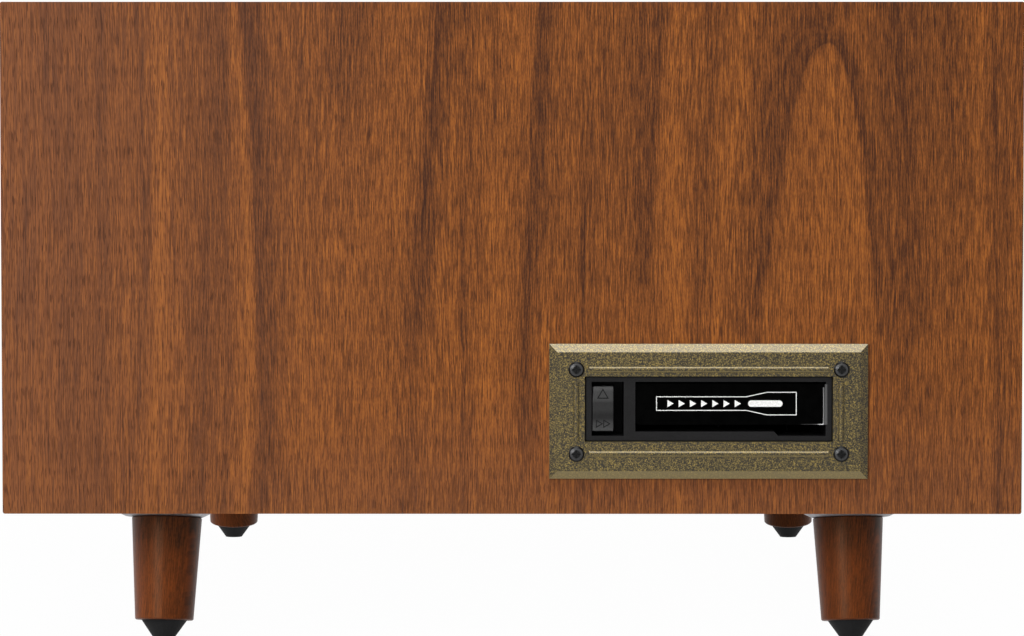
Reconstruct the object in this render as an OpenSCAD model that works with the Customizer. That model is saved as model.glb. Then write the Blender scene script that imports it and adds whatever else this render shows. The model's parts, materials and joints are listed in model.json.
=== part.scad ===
// Tabletop record player: wooden cabinet on splayed legs, belt-drive turntable under the lid,
// radio controls in front and a slot-loading cassette unit in the right side panel.
// Millimetres. Origin on the floor under the middle of the cabinet, front at -Y, cassette side at +X.

/* [Cabinet] */
// Width across the outer faces of the side panels
cabinet_w = 440; // [436:1:480]
// Depth of the side panels from front edge to rear edge
cabinet_d = 355; // [352:1:400]
// Height of the side panels
cabinet_h = 178; // [174:1:210]
// Thickness of the side panels
side_t = 12; // [9:0.5:14]
// Thickness of the lid
lid_t = 12; // [9:0.5:15]
// Thickness of the bottom panel
bottom_t = 9; // [6:0.5:10]
// Thickness of the front baffle
baffle_t = 9; // [6:0.5:10]
// Thickness of the back panel
back_t = 6; // [4:0.5:7]
// How far the front baffle sits behind the front edges
front_recess = 17; // [16:0.5:19]
// How far the back panel sits inside the rear edges
back_recess = 6; // [5:0.5:7]
// Radius of the side panels' corners
corner_r = 0.8; // [0.4:0.1:3]
// Gap between the lid and each side panel
lid_side_gap = 0.8; // [0.4:0.1:2]
// Gap between the closed lid and the panels under it
lid_seat_gap = 0.4; // [0.3:0.1:0.8]

/* [Lid hinges] */
// Distance of each hinge from the middle of the lid
hinge_x = 130; // [80:1:160]
// Length of a hinge along its pin
hinge_w = 50; // [40:1:70]
// Height of one hinge leaf
leaf_h = 10; // [6:0.5:11]
// Thickness of a hinge leaf
leaf_t = 1.2; // [0.8:0.1:1.8]
// Outer radius of a hinge knuckle
knuckle_r = 2.2; // [2:0.1:2.6]
// Radius of a hinge pin
hinge_pin_r = 1.2; // [0.8:0.1:1.4]

/* [Legs] */
// Length of the wood of a leg along its axis
leg_len = 37; // [30:0.5:80]
// Radius of a leg at its top
leg_top_r = 12.6; // [10:0.1:15]
// Radius of a leg at its lower end
leg_end_r = 10.5; // [8.5:0.1:12]
// Angle by which a leg leans out sideways
leg_splay = 9; // [4:0.5:12]
// Angle by which a leg leans out to the front or the rear
leg_toe = 1; // [0:0.1:4]
// Distance of a leg's top from the side panel's outer face
leg_inset_x = 50; // [40:1:70]
// Distance of a leg's top from the front or rear edge
leg_inset_y = 54.7; // [40:0.1:80]
// How far the middle of the four legs sits behind the middle of the cabinet
leg_shift_y = -1.8; // [-6:0.1:6]
// Radius of a leg's mounting plate
leg_plate_r = 27; // [22:0.5:30]
// Height of the mounting plate's boss at its middle
leg_plate_drop = 6.2; // [5:0.1:9]
// Radius of the bolt that holds a leg
leg_bolt_r = 3.9; // [2.5:0.1:5]
// Height of a rubber tip below the wood
tip_h = 6.6; // [5:0.1:9]
// Radius of a rubber tip where it meets the wood
tip_r = 8.2; // [7:0.1:9]
// Radius of a rubber tip on the floor
tip_floor_r = 3.6; // [3:0.1:5]

/* [Cassette unit] */
// Short side of a compact cassette
cassette_w = 63.8; // [62:0.1:65]
// Long side of a compact cassette
cassette_l = 100.4; // [98:0.1:104]
// Greatest thickness of a compact cassette
cassette_t = 12; // [11:0.1:12.5]
// Distance between the middles of a cassette's two hubs
hub_pitch = 42.5; // [42:0.1:43]
// Distance of the hubs from the cassette's tape edge
hub_from_edge = 34.8; // [34:0.1:36]
// Clearance on each side of a cassette in the slot
slot_clear = 1.2; // [0.6:0.1:1.5]
// Height of the slot where the cassette is thin
slot_h = 17.4; // [17:0.1:19]
// Depth of the step in the slot for the cassette's thick edge
notch_d = 1.5; // [1:0.1:2]
// Width of that step
notch_w = 16.5; // [14:0.1:20]
// Width of the rim of the housing beside its openings
housing_rim = 2; // [1.6:0.1:3]
// Height of the rim of the housing above and below its openings
housing_lip = 1.55; // [1.3:0.05:2.5]
// Depth of the housing
housing_depth = 22; // [21:0.5:26]
// Width of the opening behind the button
button_bay_w = 11.2; // [10.5:0.1:13]
// Width of the bar between button and slot
divider_w = 4; // [3:0.1:6]
// Width of the button
button_w = 7.3; // [6:0.1:8]
// Height of the button
button_h = 15.5; // [12:0.1:17]
// How far the button is pushed in
button_travel = 5; // [3:0.5:6]
// Thickness of the flap
flap_t = 1.6; // [1.2:0.1:2]
// Height of the flap below its pivot
flap_h = 13.7; // [12:0.1:14.5]
// Width of the bezel
bezel_w = 110.8; // [108:0.1:120]
// Height of the bezel
bezel_h = 47; // [45:0.1:56]
// How far the bezel stands out from the side panel
bezel_t = 3; // [2.6:0.1:4]
// Width of the bezel's bevelled edge
bevel_w = 2.8; // [1.5:0.1:3.4]
// Depth of the bezel's bevelled edge
bevel_d = 2; // [1:0.1:2.4]
// Distance of the bezel's middle from the rear edge of the side panel
bezel_from_rear = 109.1; // [104:0.1:115]
// Height of the bezel's middle above the lower edge of the side panel
bezel_up = 35.9; // [35.4:0.1:60]
// How far the slot face's middle is above the bezel's middle
window_up = 0.9; // [0:0.1:1.5]
// Distance between the bezel's screws along the panel
screw_pitch_y = 92; // [91:0.1:94]
// Distance between the bezel's screws up the panel
screw_pitch_z = 29.4; // [29:0.1:32]
// Radius of a bezel screw's head
screw_head_r = 2.75; // [2.2:0.05:3.2]
// How far the cassette carriage drops onto the spindles
carriage_drop = 7; // [6:0.5:7.5]

/* [Turntable] */
// Height from the deck to the underside of the lid
well_h = 54; // [52:0.5:60]
// Thickness of the deck plate
deck_t = 6; // [4:0.5:8]
// Diameter of the largest record
record_d = 301.6; // [300:0.1:303]
// Clearance between that record and the left side panel
record_clear = 10; // [6:0.5:12]
// Diameter of the platter
platter_d = 216; // [212:1:240]
// Height of the platter's top above the deck
platter_up = 17; // [15:0.5:18]
// Thickness of the platter mat
mat_t = 2.5; // [1.5:0.1:3]
// Radius of the drive ring under the platter
drive_ring_r = 70; // [60:0.5:72]
// Radius of the motor pulley
motor_pulley_r = 5.5; // [4.5:0.1:7]
// Distance from the platter's middle to the motor pulley
motor_dist = 88; // [86:0.5:92]
// Radius of the spindle that a record fits on
spindle_r = 3.6; // [3.5:0.01:3.62]
// Height of the spindle's straight part above the mat
spindle_h = 9; // [8:0.5:10]
// Radius of the spindle's shaft in its bearing
journal_r = 4; // [3.8:0.1:5]

/* [Tonearm] */
// Distance of the arm pivot to the right of the platter's middle
pivot_dx = 155; // [154:0.5:160]
// Distance of the arm pivot behind the platter's middle
pivot_dy = 95; // [88:0.5:98]
// Length of the arm tube from the pivot to the head
arm_reach = 170; // [160:0.5:175]
// Radius of the arm tube
arm_tube_r = 4; // [3:0.1:4.5]
// Angle of the head to the arm
head_angle = 20; // [15:0.5:24]
// Height of the arm's axis above the deck
arm_up = 34; // [33.5:0.5:35]
// Radius of the counterweight
weight_r = 12; // [9:0.5:14]
// Length of the counterweight
weight_len = 22; // [16:0.5:26]
// Distance of the arm rest from the pivot
rest_dist = 150; // [135:0.5:158]
// Radius of the arc that lifts the arm
lift_arc_r = 30; // [28:0.5:31]
// Radius of the arm base
arm_base_r = 20; // [18:0.5:21]
// Height of the arm base
arm_base_h = 12; // [10:0.5:14]
// Length of the cue lever
cue_lever_len = 34; // [28:0.5:40]

/* [Front] */
// Width of the control plate
control_w = 150; // [140:1:156]
// Distance of the control plate and the grilles above the bottom panel
control_up = 9; // [5:0.5:12]
// Distance of the control plate and the grilles below the top of the baffle
control_down = 15.6; // [12:0.1:22]
// Thickness of the control plate
control_t = 3; // [2.4:0.1:3.5]
// Distance of the dial's middle below the control plate's upper edge
dial_down = 57; // [54:0.5:60]
// Radius of the dial
dial_r = 36; // [32:0.5:38]
// Depth of the dial below the control plate's face
dial_depth = 1.2; // [0.8:0.1:1.6]
// Height of the lower knobs above the control plate's lower edge
knob_up = 20; // [16:0.5:22]
// Distance of each lower knob from the middle
knob_dx = 40; // [25:0.5:55]
// Radius of a lower knob
knob_r = 11; // [9:0.5:12]
// Radius of the tuning knob
tuning_knob_r = 13; // [10:0.5:14]
// How far a knob stands out
knob_len = 12; // [8:0.5:12]
// Radius of a control shaft
shaft_r = 3; // [2.5:0.1:3.2]
// Gap between a speaker grille and what stands beside it
grille_gap = 8.5; // [5:0.5:16]
// Width of a grille's frame
grille_frame_w = 6; // [4:0.5:9]
// Depth of a grille's frame
grille_t = 5; // [4:0.5:7]
// Radius of a speaker's flange
speaker_r = 39; // [34:0.5:40]
// Depth of a speaker
speaker_depth = 34; // [30:0.5:40]

/* [Rear] */
// Width of the connector plate
connector_w = 92; // [84:1:110]
// Height of the connector plate
connector_h = 38; // [34:1:48]
// Distance of the connector plate to the left of the middle
connector_dx = 100; // [60:1:130]
// Height of the connectors above the bottom panel
connector_up = 36; // [26:1:45]
// Distance between neighbouring connectors
connector_pitch = 18; // [16:0.5:20]
// Radius of a line output socket
line_out_r = 4.15; // [4.1:0.01:4.2]
// Length of a line output socket
line_out_len = 8; // [7:0.1:9]
// Radius of the headphone socket's hole
phones_r = 1.8; // [1.77:0.01:1.85]
// Depth of the headphone socket's hole
phones_len = 14; // [12:0.5:16]

/* [Hidden] */
$fn = 64;

// Clearances shared by all pieces
fit_gap = 0.1;      // pieces that are fixed together
run_gap = 0.05;     // a shaft that turns in its bearing
side_gap = 0.3;     // pieces that move past each other
cut = 1;            // how far a cutting solid reaches past a face

// Finishes
veneer = "#8a5532";
leg_wood = "#5a2f18";
bronze = "#7a6d4c";
black = "#1c1b1c";
grey_plastic = "#3a393b";
steel = "#a9abad";
brass = "#b59a55";
rubber = "#141414";
cloth = "#6b5a40";
paper = "#2a2826";
board_green = "#1f5a35";

// Cabinet planes
stand_h = leg_plate_drop + leg_len * cos(leg_splay) + tip_h;
cab_x = cabinet_w / 2;
cab_y = cabinet_d / 2;
in_x = cab_x - side_t;
bottom_top = stand_h + bottom_t;
cab_top = stand_h + cabinet_h;
lid_bottom = cab_top - lid_t;
wall_top = lid_bottom - lid_seat_gap;
baffle_front = -cab_y + front_recess;
baffle_back = baffle_front + baffle_t;
back_outer = cab_y - back_recess;
back_inner = back_outer - back_t;
deck_top = lid_bottom - well_h;
deck_bottom = deck_top - deck_t;
rail_size = 14;

// Hinge axis of the lid
hinge_off = knuckle_r + side_gap;
hinge_y = back_outer + hinge_off;
hinge_z = lid_bottom;
knuckle_count = 5;

// Leg frame
leg_edge = 0.4;
leg_boss_lip = 0.6;
tip_slope = (tip_r - tip_floor_r) / tip_h;
leg_plate_t = 1.5;
leg_hole_depth = 22;
leg_names = [for (sy = [-1, 1], sx = [-1, 1]) [sx, sy]];
function leg_x(sx) = sx * (cab_x - leg_inset_x);
function leg_y(sy) = leg_shift_y + sy * (cab_y - leg_inset_y);

// Cassette unit: places are measured from the middle of the slot face
cas_y = cab_y - bezel_from_rear;
cas_z = stand_h + bezel_up + window_up;
slot_w = cassette_w + 2 * slot_clear;
face_w = 2 * housing_rim + button_bay_w + divider_w + slot_w;
face_h = 2 * housing_lip + slot_h + notch_d;
face_sink = 1.2;
face_x = cab_x + bezel_t - face_sink;
housing_back = face_x - housing_depth;
bay_left = -face_w / 2 + housing_rim;
slot_left = bay_left + button_bay_w + divider_w;
slot_right = slot_left + slot_w;
slot_top = face_h / 2 - housing_lip;
slot_bottom = slot_top - slot_h;
bay_bottom = slot_bottom - notch_d;
bay_wall_t = 1.5;
window_gap = 0.4;
notch_slope = 1.4;
screw_r = 1.4;
screw_len = 10;
screw_head_h = 1.6;
screw_cross_w = 0.7;
bead_r = 1.1;
bead_h = 0.7;
bead_end_gap = 1.7;
flap_pivot_r = 0.8;
flap_barrel_r = 1.05;
flap_axis_x = face_x - 0.8 - flap_t / 2;
flap_axis_z = slot_top - flap_barrel_r - 0.25;
flap_end_gap = 0.9;
flap_socket = housing_rim - 0.4;
flap_stub = flap_socket - 0.2;
button_front = face_x - 0.5;
button_depth = 9;
button_slope_h = 5.4;
button_slope_d = 0.9;
lever_w = 4;
lever_h = 4;
lever_y = bay_left + side_gap + button_w / 2;
lever_reach = 19;
lever_end = housing_back - lever_reach - button_travel;
lever_z = (slot_top + bay_bottom) / 2;
bracket_x = lever_end + 4;

// Cassette mechanism under and around the carriage
sheet_t = 1.2;
carriage_front = housing_back - 2.5;
carriage_l = cassette_l + sheet_t + 1;
carriage_back = carriage_front - carriage_l;
bay_top = bay_bottom + cassette_t + 1.2;
carriage_lip = 3;
cassette_mid_x = carriage_front - cassette_l / 2 - 0.5;
chassis_top = bay_bottom - sheet_t - carriage_drop - 0.5;
chassis_bottom = chassis_top - sheet_t;
chassis_margin = 5;
motor_side = 36;
head_side = 15;
chassis_y0 = slot_left - motor_side;
chassis_y1 = slot_right + head_side;
guide_r = 2;
guide_dx = cassette_l / 2 - 7;
guide_out = 4.6;
guide_over = 4;
guide_ys = [slot_left - guide_out, slot_right + guide_out];
drive_gap = 0.8;
drive_t = 4.6;
drive_top = chassis_bottom - drive_gap;
drive_bottom = drive_top - drive_t;
hub_y = slot_right - slot_clear - hub_from_edge;
take_up_x = cassette_mid_x - hub_pitch / 2;
supply_x = cassette_mid_x + hub_pitch / 2;
spindle_top = bay_bottom - 0.4;
reel_shaft_r = 1.5;
reel_hub_r = 2.6;
reel_base_r = 9;
take_up_pulley_r = 8;
capstan_r = 1;
capstan_dx = 30;
capstan_from_edge = 6.5;
capstan_x = cassette_mid_x - capstan_dx;
capstan_y = slot_right - slot_clear - capstan_from_edge;
flywheel_r = 17;
tape_motor_r = 12;
tape_motor_h = 22;
tape_motor_x = capstan_x - 6;
tape_motor_y = slot_left - 20.5;
tape_pulley_r = 4;
tape_shaft_r = 1;
pinch_r = 5.5;
pinch_h = 9;
pinch_y = slot_right + sheet_t + 1.2 + pinch_r;
pinch_z = chassis_top + 4;
head_w = 12;
head_h = 8;
head_depth = 7;
head_y = slot_right + sheet_t + 1.2;
tape_pulleys = [
    [capstan_x, capstan_y, flywheel_r],
    [take_up_x, hub_y, take_up_pulley_r],
    [tape_motor_x, tape_motor_y, tape_pulley_r],
];
tape_belt_t = 0.8;
tape_belt_w = 3;
foot_r = 3.5;

// Turntable
platter_r = platter_d / 2;
platter_x = -in_x + record_clear + record_d / 2;
platter_y = (baffle_back + back_inner) / 2;
platter_top = deck_top + platter_up;
platter_skin = 3;
skirt_t = 3.5;
deck_dish = 2;
dish_margin = 5;
pulley_room = 2;
dish_floor = deck_top - deck_dish;
mat_top = platter_top + mat_t;
mat_r = platter_r - 3;
mat_edge = 0.8;
mat_ring_count = 8;
mat_ring_w = 2;
mat_ring_d = 0.7;
label_r = 51;
mat_ring_pitch = (mat_r - label_r) / (mat_ring_count + 1);
ring_t = 4;
platter_hub_r = 12;
bearing_r = 7;
bearing_top = deck_top + 3.5;
bearing_len = 26;
bearing_bottom = bearing_top - bearing_len;
journal_end = bearing_bottom + 3;
motor_angle = 150;
motor_x = platter_x + motor_dist * cos(motor_angle);
motor_y = platter_y + motor_dist * sin(motor_angle);
motor_r = 18;
motor_h = 30;
motor_shaft_r = 1.2;
belt_t = 0.8;
belt_w = 5;
belt_z = deck_top + 4;
turntable_pulleys = [[platter_x, platter_y, drive_ring_r], [motor_x, motor_y, motor_pulley_r]];
bullet_h = 3;

// Tonearm: places are measured from the pivot, with the arm on its rest pointing to the front
arm_x = platter_x + pivot_dx;
arm_y = platter_y + pivot_dy;
arm_z = deck_top + arm_up;
arm_base_top = deck_top + arm_base_h;
gimbal_r = 15;
gimbal_t = 3;
gimbal_shaft_r = 4;
gimbal_arm_in = 8;
gimbal_arm_out = 12;
gimbal_arm_w = 9;
trunnion_r = 1.5;
pivot_block = 6.5;
weight_y = 20;
tail_r = 3;
head_plate_w = 17;
head_plate_t = 3;
head_plate_len = 38;
cartridge_w = 12;
cartridge_len = 18;
cartridge_h = 7;
stylus_h = 1.6;
lift_from = -6;
lift_to = 46;
lift_w = 5;
lift_t = 2.5;
lift_rod_at = 20;
lift_rod_r = 2;
lift_post_r = 5.5;
cue_z = deck_top + arm_base_h / 2;
cue_shaft_r = 2;
cue_hub_r = 4;
cue_hub_w = 5;
rest_r = 5;
rest_base_r = 9;
rest_fork_w = 14;
speed_inset = 38;
speed_ahead = 100;
speed_x = in_x - speed_inset;
speed_y = platter_y - speed_ahead;
speed_shaft_r = 2.5;
speed_knob_r = 9;
speed_bar = 22;

// Front
plate_front = baffle_front - control_t;
plate_z0 = bottom_top + control_up;
control_h = wall_top - control_down - plate_z0;
dial_z = plate_z0 + control_h - dial_down;
knob_z = plate_z0 + knob_up;
dial_ring_w = 3;
dial_ring_h = 1.4;
sleeve_r = 5;
pointer_len = dial_r - 3;
pointer_w = 1.6;
pointer_t = 0.8;
knob_gap = 0.6;
shaft_tail = 6;
shaft_len = control_t + baffle_t + shaft_tail;
control_places = [[-knob_dx, knob_z], [knob_dx, knob_z], [0, dial_z]];
pot_r = 8;
pot_h = 9;
board_t = 1.6;
can_r = 5;
can_h = 16;
can_pitch = 14;
heat_sink = [30, 20, 12];
board_w = 2 * (knob_dx + 22);
board_z0 = bottom_top + 4;
board_z1 = dial_z + pot_r + 2;
speaker_x = (control_w / 2 + in_x) / 2;
speaker_z = (bottom_top + deck_bottom) / 2;
grille_w = in_x - control_w / 2 - 2 * grille_gap;
grille_z = plate_z0 + control_h / 2;
cone_r = speaker_r - 8.8;
slot_count = 7;
slot_pitch = 8;
baffle_slot_w = 5;
baffle_slot_h = 56;

// Rear
connector_x = -connector_dx;
connector_z = bottom_top + connector_up;
connector_t = 2;
connector_lap = 6;
plate_y = back_inner - connector_t;
jack_body_r = 7;
jack_body_len = 12;
collar_r = 5.6;
line_pin_r = 1.6;
inlet_r = 5;
inlet_depth = 9;
inlet_hole_r = 3.2;
inlet_pin_r = 1;
inlet_len = 4;
phones_nut_r = 3.4;
phones_nut_len = 3;
jack_x = [for (i = [0 : 3]) connector_x + (i - 1.5) * connector_pitch];
vent_count = 6;
vent_w = 60;
vent_h = 4;
vent_pitch = 9;

// Shared shapes
module block(a, b) {
    translate(a) cube(b - a);
}

module round_rect(w, h, r) {
    square([w - 2 * r, h], center = true);
    square([w, h - 2 * r], center = true);
    for (sx = [-1, 1], sy = [-1, 1])
        translate([sx * (w / 2 - r), sy * (h / 2 - r)]) circle(r);
}

// An outline drawn in Y and Z, as thick as t from x towards +X
module side_slab(x, t) {
    translate([x, 0, 0]) rotate([90, 0, 90]) linear_extrude(t) children();
}

// An outline drawn in X and Z, as thick as t from y towards +Y
module front_slab(y, t) {
    translate([0, y + t, 0]) rotate([90, 0, 0]) linear_extrude(t) children();
}

// A round hole along Z through a plate that spans z0 to z1
module hole(x, y, z0, z1, r) {
    translate([x, y, z0 - cut]) cylinder(r = r, h = z1 - z0 + 2 * cut);
}

// A post along Z from z0 to z1
module post(x, y, z0, z1, r) {
    translate([x, y, z0]) cylinder(r = r, h = z1 - z0);
}

// A pin along X from x0 to x1
module cross_pin(x0, x1, r) {
    translate([x0, 0, 0]) rotate([0, 90, 0]) cylinder(r = r, h = x1 - x0);
}

// Children drawn up from a wall that faces the front
module facing_front(x, y, z) {
    translate([x, y, z]) rotate([90, 0, 0]) children();
}

// Children drawn up from a wall that faces the rear
module facing_rear(x, y, z) {
    translate([x, y, z]) rotate([-90, 0, 0]) children();
}

// A flat plate that faces +Z, with a bevel round its outer edge
module bevelled_plate(w, h, t, bevel, depth) {
    intersection() {
        rotate([90, 0, 0]) linear_extrude(h, center = true) bevel_profile(w, t, bevel, depth);
        rotate([90, 0, 90]) linear_extrude(w, center = true) bevel_profile(h, t, bevel, depth);
    }
}

module bevel_profile(w, t, bevel, depth) {
    polygon([
        [-w / 2, 0], [w / 2, 0], [w / 2, t - depth], [w / 2 - bevel, t],
        [-w / 2 + bevel, t], [-w / 2, t - depth],
    ]);
}

// A flat belt round pulleys given as x, y and radius
module belt(pulleys, thickness, width) {
    linear_extrude(width) difference() {
        hull() belt_circles(pulleys, side_gap + thickness);
        hull() belt_circles(pulleys, side_gap);
    }
}

module belt_circles(pulleys, grow) {
    for (p = pulleys) translate([p.x, p.y]) circle(p.z + grow, $fn = 96);
}

// Cabinet
module side_outline() {
    translate([0, stand_h + cabinet_h / 2]) round_rect(cabinet_d, cabinet_h, corner_r);
}

module in_face() {
    translate([cas_y, cas_z]) children();
}

module face_outline(grow) {
    square([face_w + 2 * grow, face_h + 2 * grow], center = true);
}

module right_side_panel() {
    color(veneer) difference() {
        side_slab(in_x, side_t) side_outline();
        side_slab(in_x - cut, side_t + 2 * cut) in_face() face_outline(window_gap);
        at_screws() translate([0, 0, -screw_len]) cylinder(r = screw_r + fit_gap, h = screw_len + cut);
    }
}

module left_side_panel() {
    color(veneer) side_slab(-cab_x, side_t) side_outline();
}

module front_baffle() {
    color(veneer) difference() {
        block([-in_x, baffle_front, bottom_top], [in_x, baffle_back, wall_top]);
        for (s = [-1, 1], i = [0 : slot_count - 1])
            translate([s * speaker_x + (i - (slot_count - 1) / 2) * slot_pitch, 0, speaker_z])
                front_slab(baffle_front - cut, baffle_t + 2 * cut)
                    square([baffle_slot_w, baffle_slot_h], center = true);
        for (p = control_places)
            facing_front(p.x, baffle_back, p.y) hole(0, 0, 0, baffle_t, shaft_r + side_gap);
        facing_front(0, baffle_back, dial_z) hole(0, 0, 0, baffle_t, sleeve_r + side_gap);
    }
}

module back_panel() {
    color(black) difference() {
        block([-in_x, back_inner, stand_h], [in_x, back_outer, wall_top]);
        front_slab(back_inner - cut, back_t + 2 * cut) translate([connector_x, connector_z])
            square([connector_w - 2 * connector_lap, connector_h - 2 * connector_lap], center = true);
        for (i = [0 : vent_count - 1])
            front_slab(back_inner - cut, back_t + 2 * cut)
                translate([-connector_x, connector_z + (i - (vent_count - 1) / 2) * vent_pitch])
                    round_rect(vent_w, vent_h, vent_h / 2 - fit_gap);
    }
}

module bottom_panel() {
    color(veneer) block([-in_x, -cab_y, stand_h], [in_x, back_inner, bottom_top]);
}

module deck_rails() {
    color(veneer) for (s = [0, 1])
        mirror([s, 0, 0])
            block([in_x - rail_size, baffle_back, deck_bottom - rail_size], [in_x, back_inner, deck_bottom]);
}

module deck_plate() {
    color(black) difference() {
        block(
            [-in_x + side_gap, baffle_back + side_gap, deck_bottom],
            [in_x - side_gap, back_inner - side_gap, deck_top]);
        post(platter_x, platter_y, dish_floor, deck_top + cut, platter_r + dish_margin, $fn = 128);
        hole(platter_x, platter_y, deck_bottom, deck_top, bearing_r + fit_gap);
        hole(motor_x, motor_y, deck_bottom, deck_top, motor_pulley_r + pulley_room);
        hole(speed_x, speed_y, deck_bottom, deck_top, speed_shaft_r + run_gap);
    }
}

// Lid and its hinges
module lid_panel() {
    lid_x = in_x - lid_side_gap;
    color(veneer) block([-lid_x, -cab_y, lid_bottom], [lid_x, back_outer, cab_top]);
}

module at_hinges() {
    for (s = [-1, 1]) translate([s * hinge_x, hinge_y, hinge_z]) children();
}

// One leaf on the +Z side of the pin. It holds every second knuckle from the first one on.
module hinge_leaf(first) {
    pitch = hinge_w / knuckle_count;
    difference() {
        union() {
            block(
                [-hinge_w / 2, -hinge_off, knuckle_r + side_gap],
                [hinge_w / 2, leaf_t - hinge_off, leaf_h]);
            for (i = [first : 2 : knuckle_count - 1])
                translate([-hinge_w / 2 + i * pitch + side_gap / 2, 0, 0]) {
                    cross_pin(0, pitch - side_gap, knuckle_r);
                    block([0, -hinge_off, 0], [pitch - side_gap, leaf_t - hinge_off, leaf_h]);
                }
        }
        cross_pin(-hinge_w / 2 - cut, hinge_w / 2 + cut, hinge_pin_r + run_gap);
    }
}

module hinge_lid_leaves() {
    color(brass) at_hinges() hinge_leaf(1);
}

module hinge_cabinet_leaves() {
    color(brass) at_hinges() mirror([0, 0, 1]) hinge_leaf(0);
}

module hinge_pins() {
    color(steel) at_hinges() cross_pin(-hinge_w / 2, hinge_w / 2, hinge_pin_r);
}

// Legs. A leg's frame has its origin in the middle of the wood's top and +Z up along its axis.
module leg_frame(sx, sy) {
    translate([leg_x(sx), leg_y(sy), stand_h - leg_plate_drop])
        rotate([sy * leg_toe, -sx * leg_splay, 0]) children();
}

module leg(sx, sy) {
    color(leg_wood) leg_frame(sx, sy) difference() {
        rotate_extrude() polygon([
            [0, -leg_len], [leg_end_r - leg_edge, -leg_len], [leg_end_r, -leg_len + leg_edge],
            [leg_top_r, -leg_edge], [leg_top_r - leg_edge, 0], [0, 0],
        ]);
        translate([0, 0, -leg_hole_depth]) cylinder(r = leg_bolt_r + fit_gap, h = leg_hole_depth + cut);
    }
}

module leg_front_left() leg(-1, -1);
module leg_front_right() leg(1, -1);
module leg_rear_left() leg(-1, 1);
module leg_rear_right() leg(1, 1);

// A round plate under the cabinet with a flat boss cut off square to the leg
module leg_plates() {
    boss_foot_r = leg_plate_r - leg_boss_lip;
    boss_r = leg_top_r + leg_boss_lip;
    color(steel) for (s = leg_names) difference() {
        translate([leg_x(s.x), leg_y(s.y), stand_h]) {
            translate([0, 0, -leg_plate_t]) cylinder(r = leg_plate_r, h = leg_plate_t);
            translate([0, 0, -1.5 * leg_plate_drop])
                cylinder(r1 = (3 * boss_r - boss_foot_r) / 2, r2 = boss_foot_r, h = 1.5 * leg_plate_drop);
        }
        leg_frame(s.x, s.y) {
            translate([0, 0, -20]) cylinder(r = 2 * leg_plate_r, h = 20);
            translate([0, 0, -cut]) cylinder(r = leg_bolt_r + fit_gap, h = 4 * leg_plate_drop);
        }
    }
}

module leg_bolts() {
    color(steel) for (s = leg_names) intersection() {
        leg_frame(s.x, s.y) translate([0, 0, -leg_hole_depth + cut])
            cylinder(r = leg_bolt_r, h = leg_hole_depth + 3 * leg_plate_drop);
        block([-cab_x, -cab_y, 0], [cab_x, cab_y, stand_h - fit_gap]);
    }
}

// Rubber cones, flat where they stand on the floor
module leg_tips() {
    color(rubber) for (s = leg_names) difference() {
        leg_frame(s.x, s.y) translate([0, 0, -leg_len - 1.5 * tip_h])
            cylinder(r1 = tip_r - 1.5 * tip_h * tip_slope, r2 = tip_r, h = 1.5 * tip_h);
        block([-cabinet_w, -cabinet_d, -2 * tip_h], [cabinet_w, cabinet_d, 0]);
    }
}

// Cassette unit
module at_screws() {
    for (sy = [-1, 1], sz = [-1, 1])
        translate([cab_x, cas_y + sy * screw_pitch_y / 2, cas_z - window_up + sz * screw_pitch_z / 2])
            rotate([0, 90, 0]) children();
}

// Half-round beads between the screws, on the face of the bezel
module bezel_beads() {
    bead_x = cab_x + bezel_t - bead_r + bead_h;
    across = screw_pitch_y / 2 - screw_head_r - bead_end_gap;
    up = screw_pitch_z / 2 - screw_head_r - bead_end_gap;
    for (s = [-1, 1]) {
        facing_rear(bead_x, -across, s * screw_pitch_z / 2) cylinder(r = bead_r, h = 2 * across);
        post(bead_x, s * screw_pitch_y / 2, -up, up, bead_r);
    }
}

module cassette_bezel() {
    color(bronze) difference() {
        translate([0, cas_y, cas_z - window_up]) {
            translate([cab_x, 0, 0]) rotate([90, 0, 90])
                bevelled_plate(bezel_w, bezel_h, bezel_t, bevel_w, bevel_d);
            bezel_beads();
        }
        side_slab(cab_x - bead_r - cut, bezel_t + 2 * bead_r + 2 * cut) in_face() face_outline(window_gap);
        at_screws() translate([0, 0, -cut]) cylinder(r = screw_r + fit_gap, h = bezel_t + 2 * cut);
    }
}

module bezel_screws() {
    color(black) at_screws() difference() {
        union() {
            translate([0, 0, -screw_len + cut]) cylinder(r = screw_r, h = screw_len + bezel_t);
            translate([0, 0, bezel_t]) rotate_extrude() polygon([
                [0, 0], [screw_head_r, 0], [screw_head_r, screw_head_h * 0.4],
                [screw_head_r * 0.8, screw_head_h * 0.8], [screw_head_r * 0.45, screw_head_h],
                [0, screw_head_h],
            ]);
        }
        translate([0, 0, bezel_t + screw_head_h]) for (a = [0, 90])
            rotate([0, 0, a]) cube([screw_head_r * 1.1, screw_cross_w, screw_head_h * 1.2], center = true);
    }
}

module slot_outline() {
    polygon([
        [slot_left, slot_top], [slot_left, slot_bottom],
        [slot_right - notch_w - notch_slope, slot_bottom], [slot_right - notch_w, bay_bottom],
        [slot_right, bay_bottom], [slot_right, slot_top],
    ]);
}

module cassette_housing() {
    color(grey_plastic) difference() {
        side_slab(housing_back, housing_depth) in_face() face_outline(0);
        side_slab(housing_back - cut, housing_depth + 2 * cut) in_face() {
            slot_outline();
            translate([lever_y, lever_z])
                square([lever_w + 2 * side_gap, lever_h + 2 * side_gap], center = true);
        }
        side_slab(housing_back + bay_wall_t, housing_depth) in_face()
            translate([bay_left, bay_bottom]) square([button_bay_w, slot_top - bay_bottom]);
        facing_rear(flap_axis_x, cas_y + slot_left - flap_socket, cas_z + flap_axis_z)
            cylinder(r = flap_pivot_r + run_gap, h = slot_w + 2 * flap_socket);
    }
}

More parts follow.
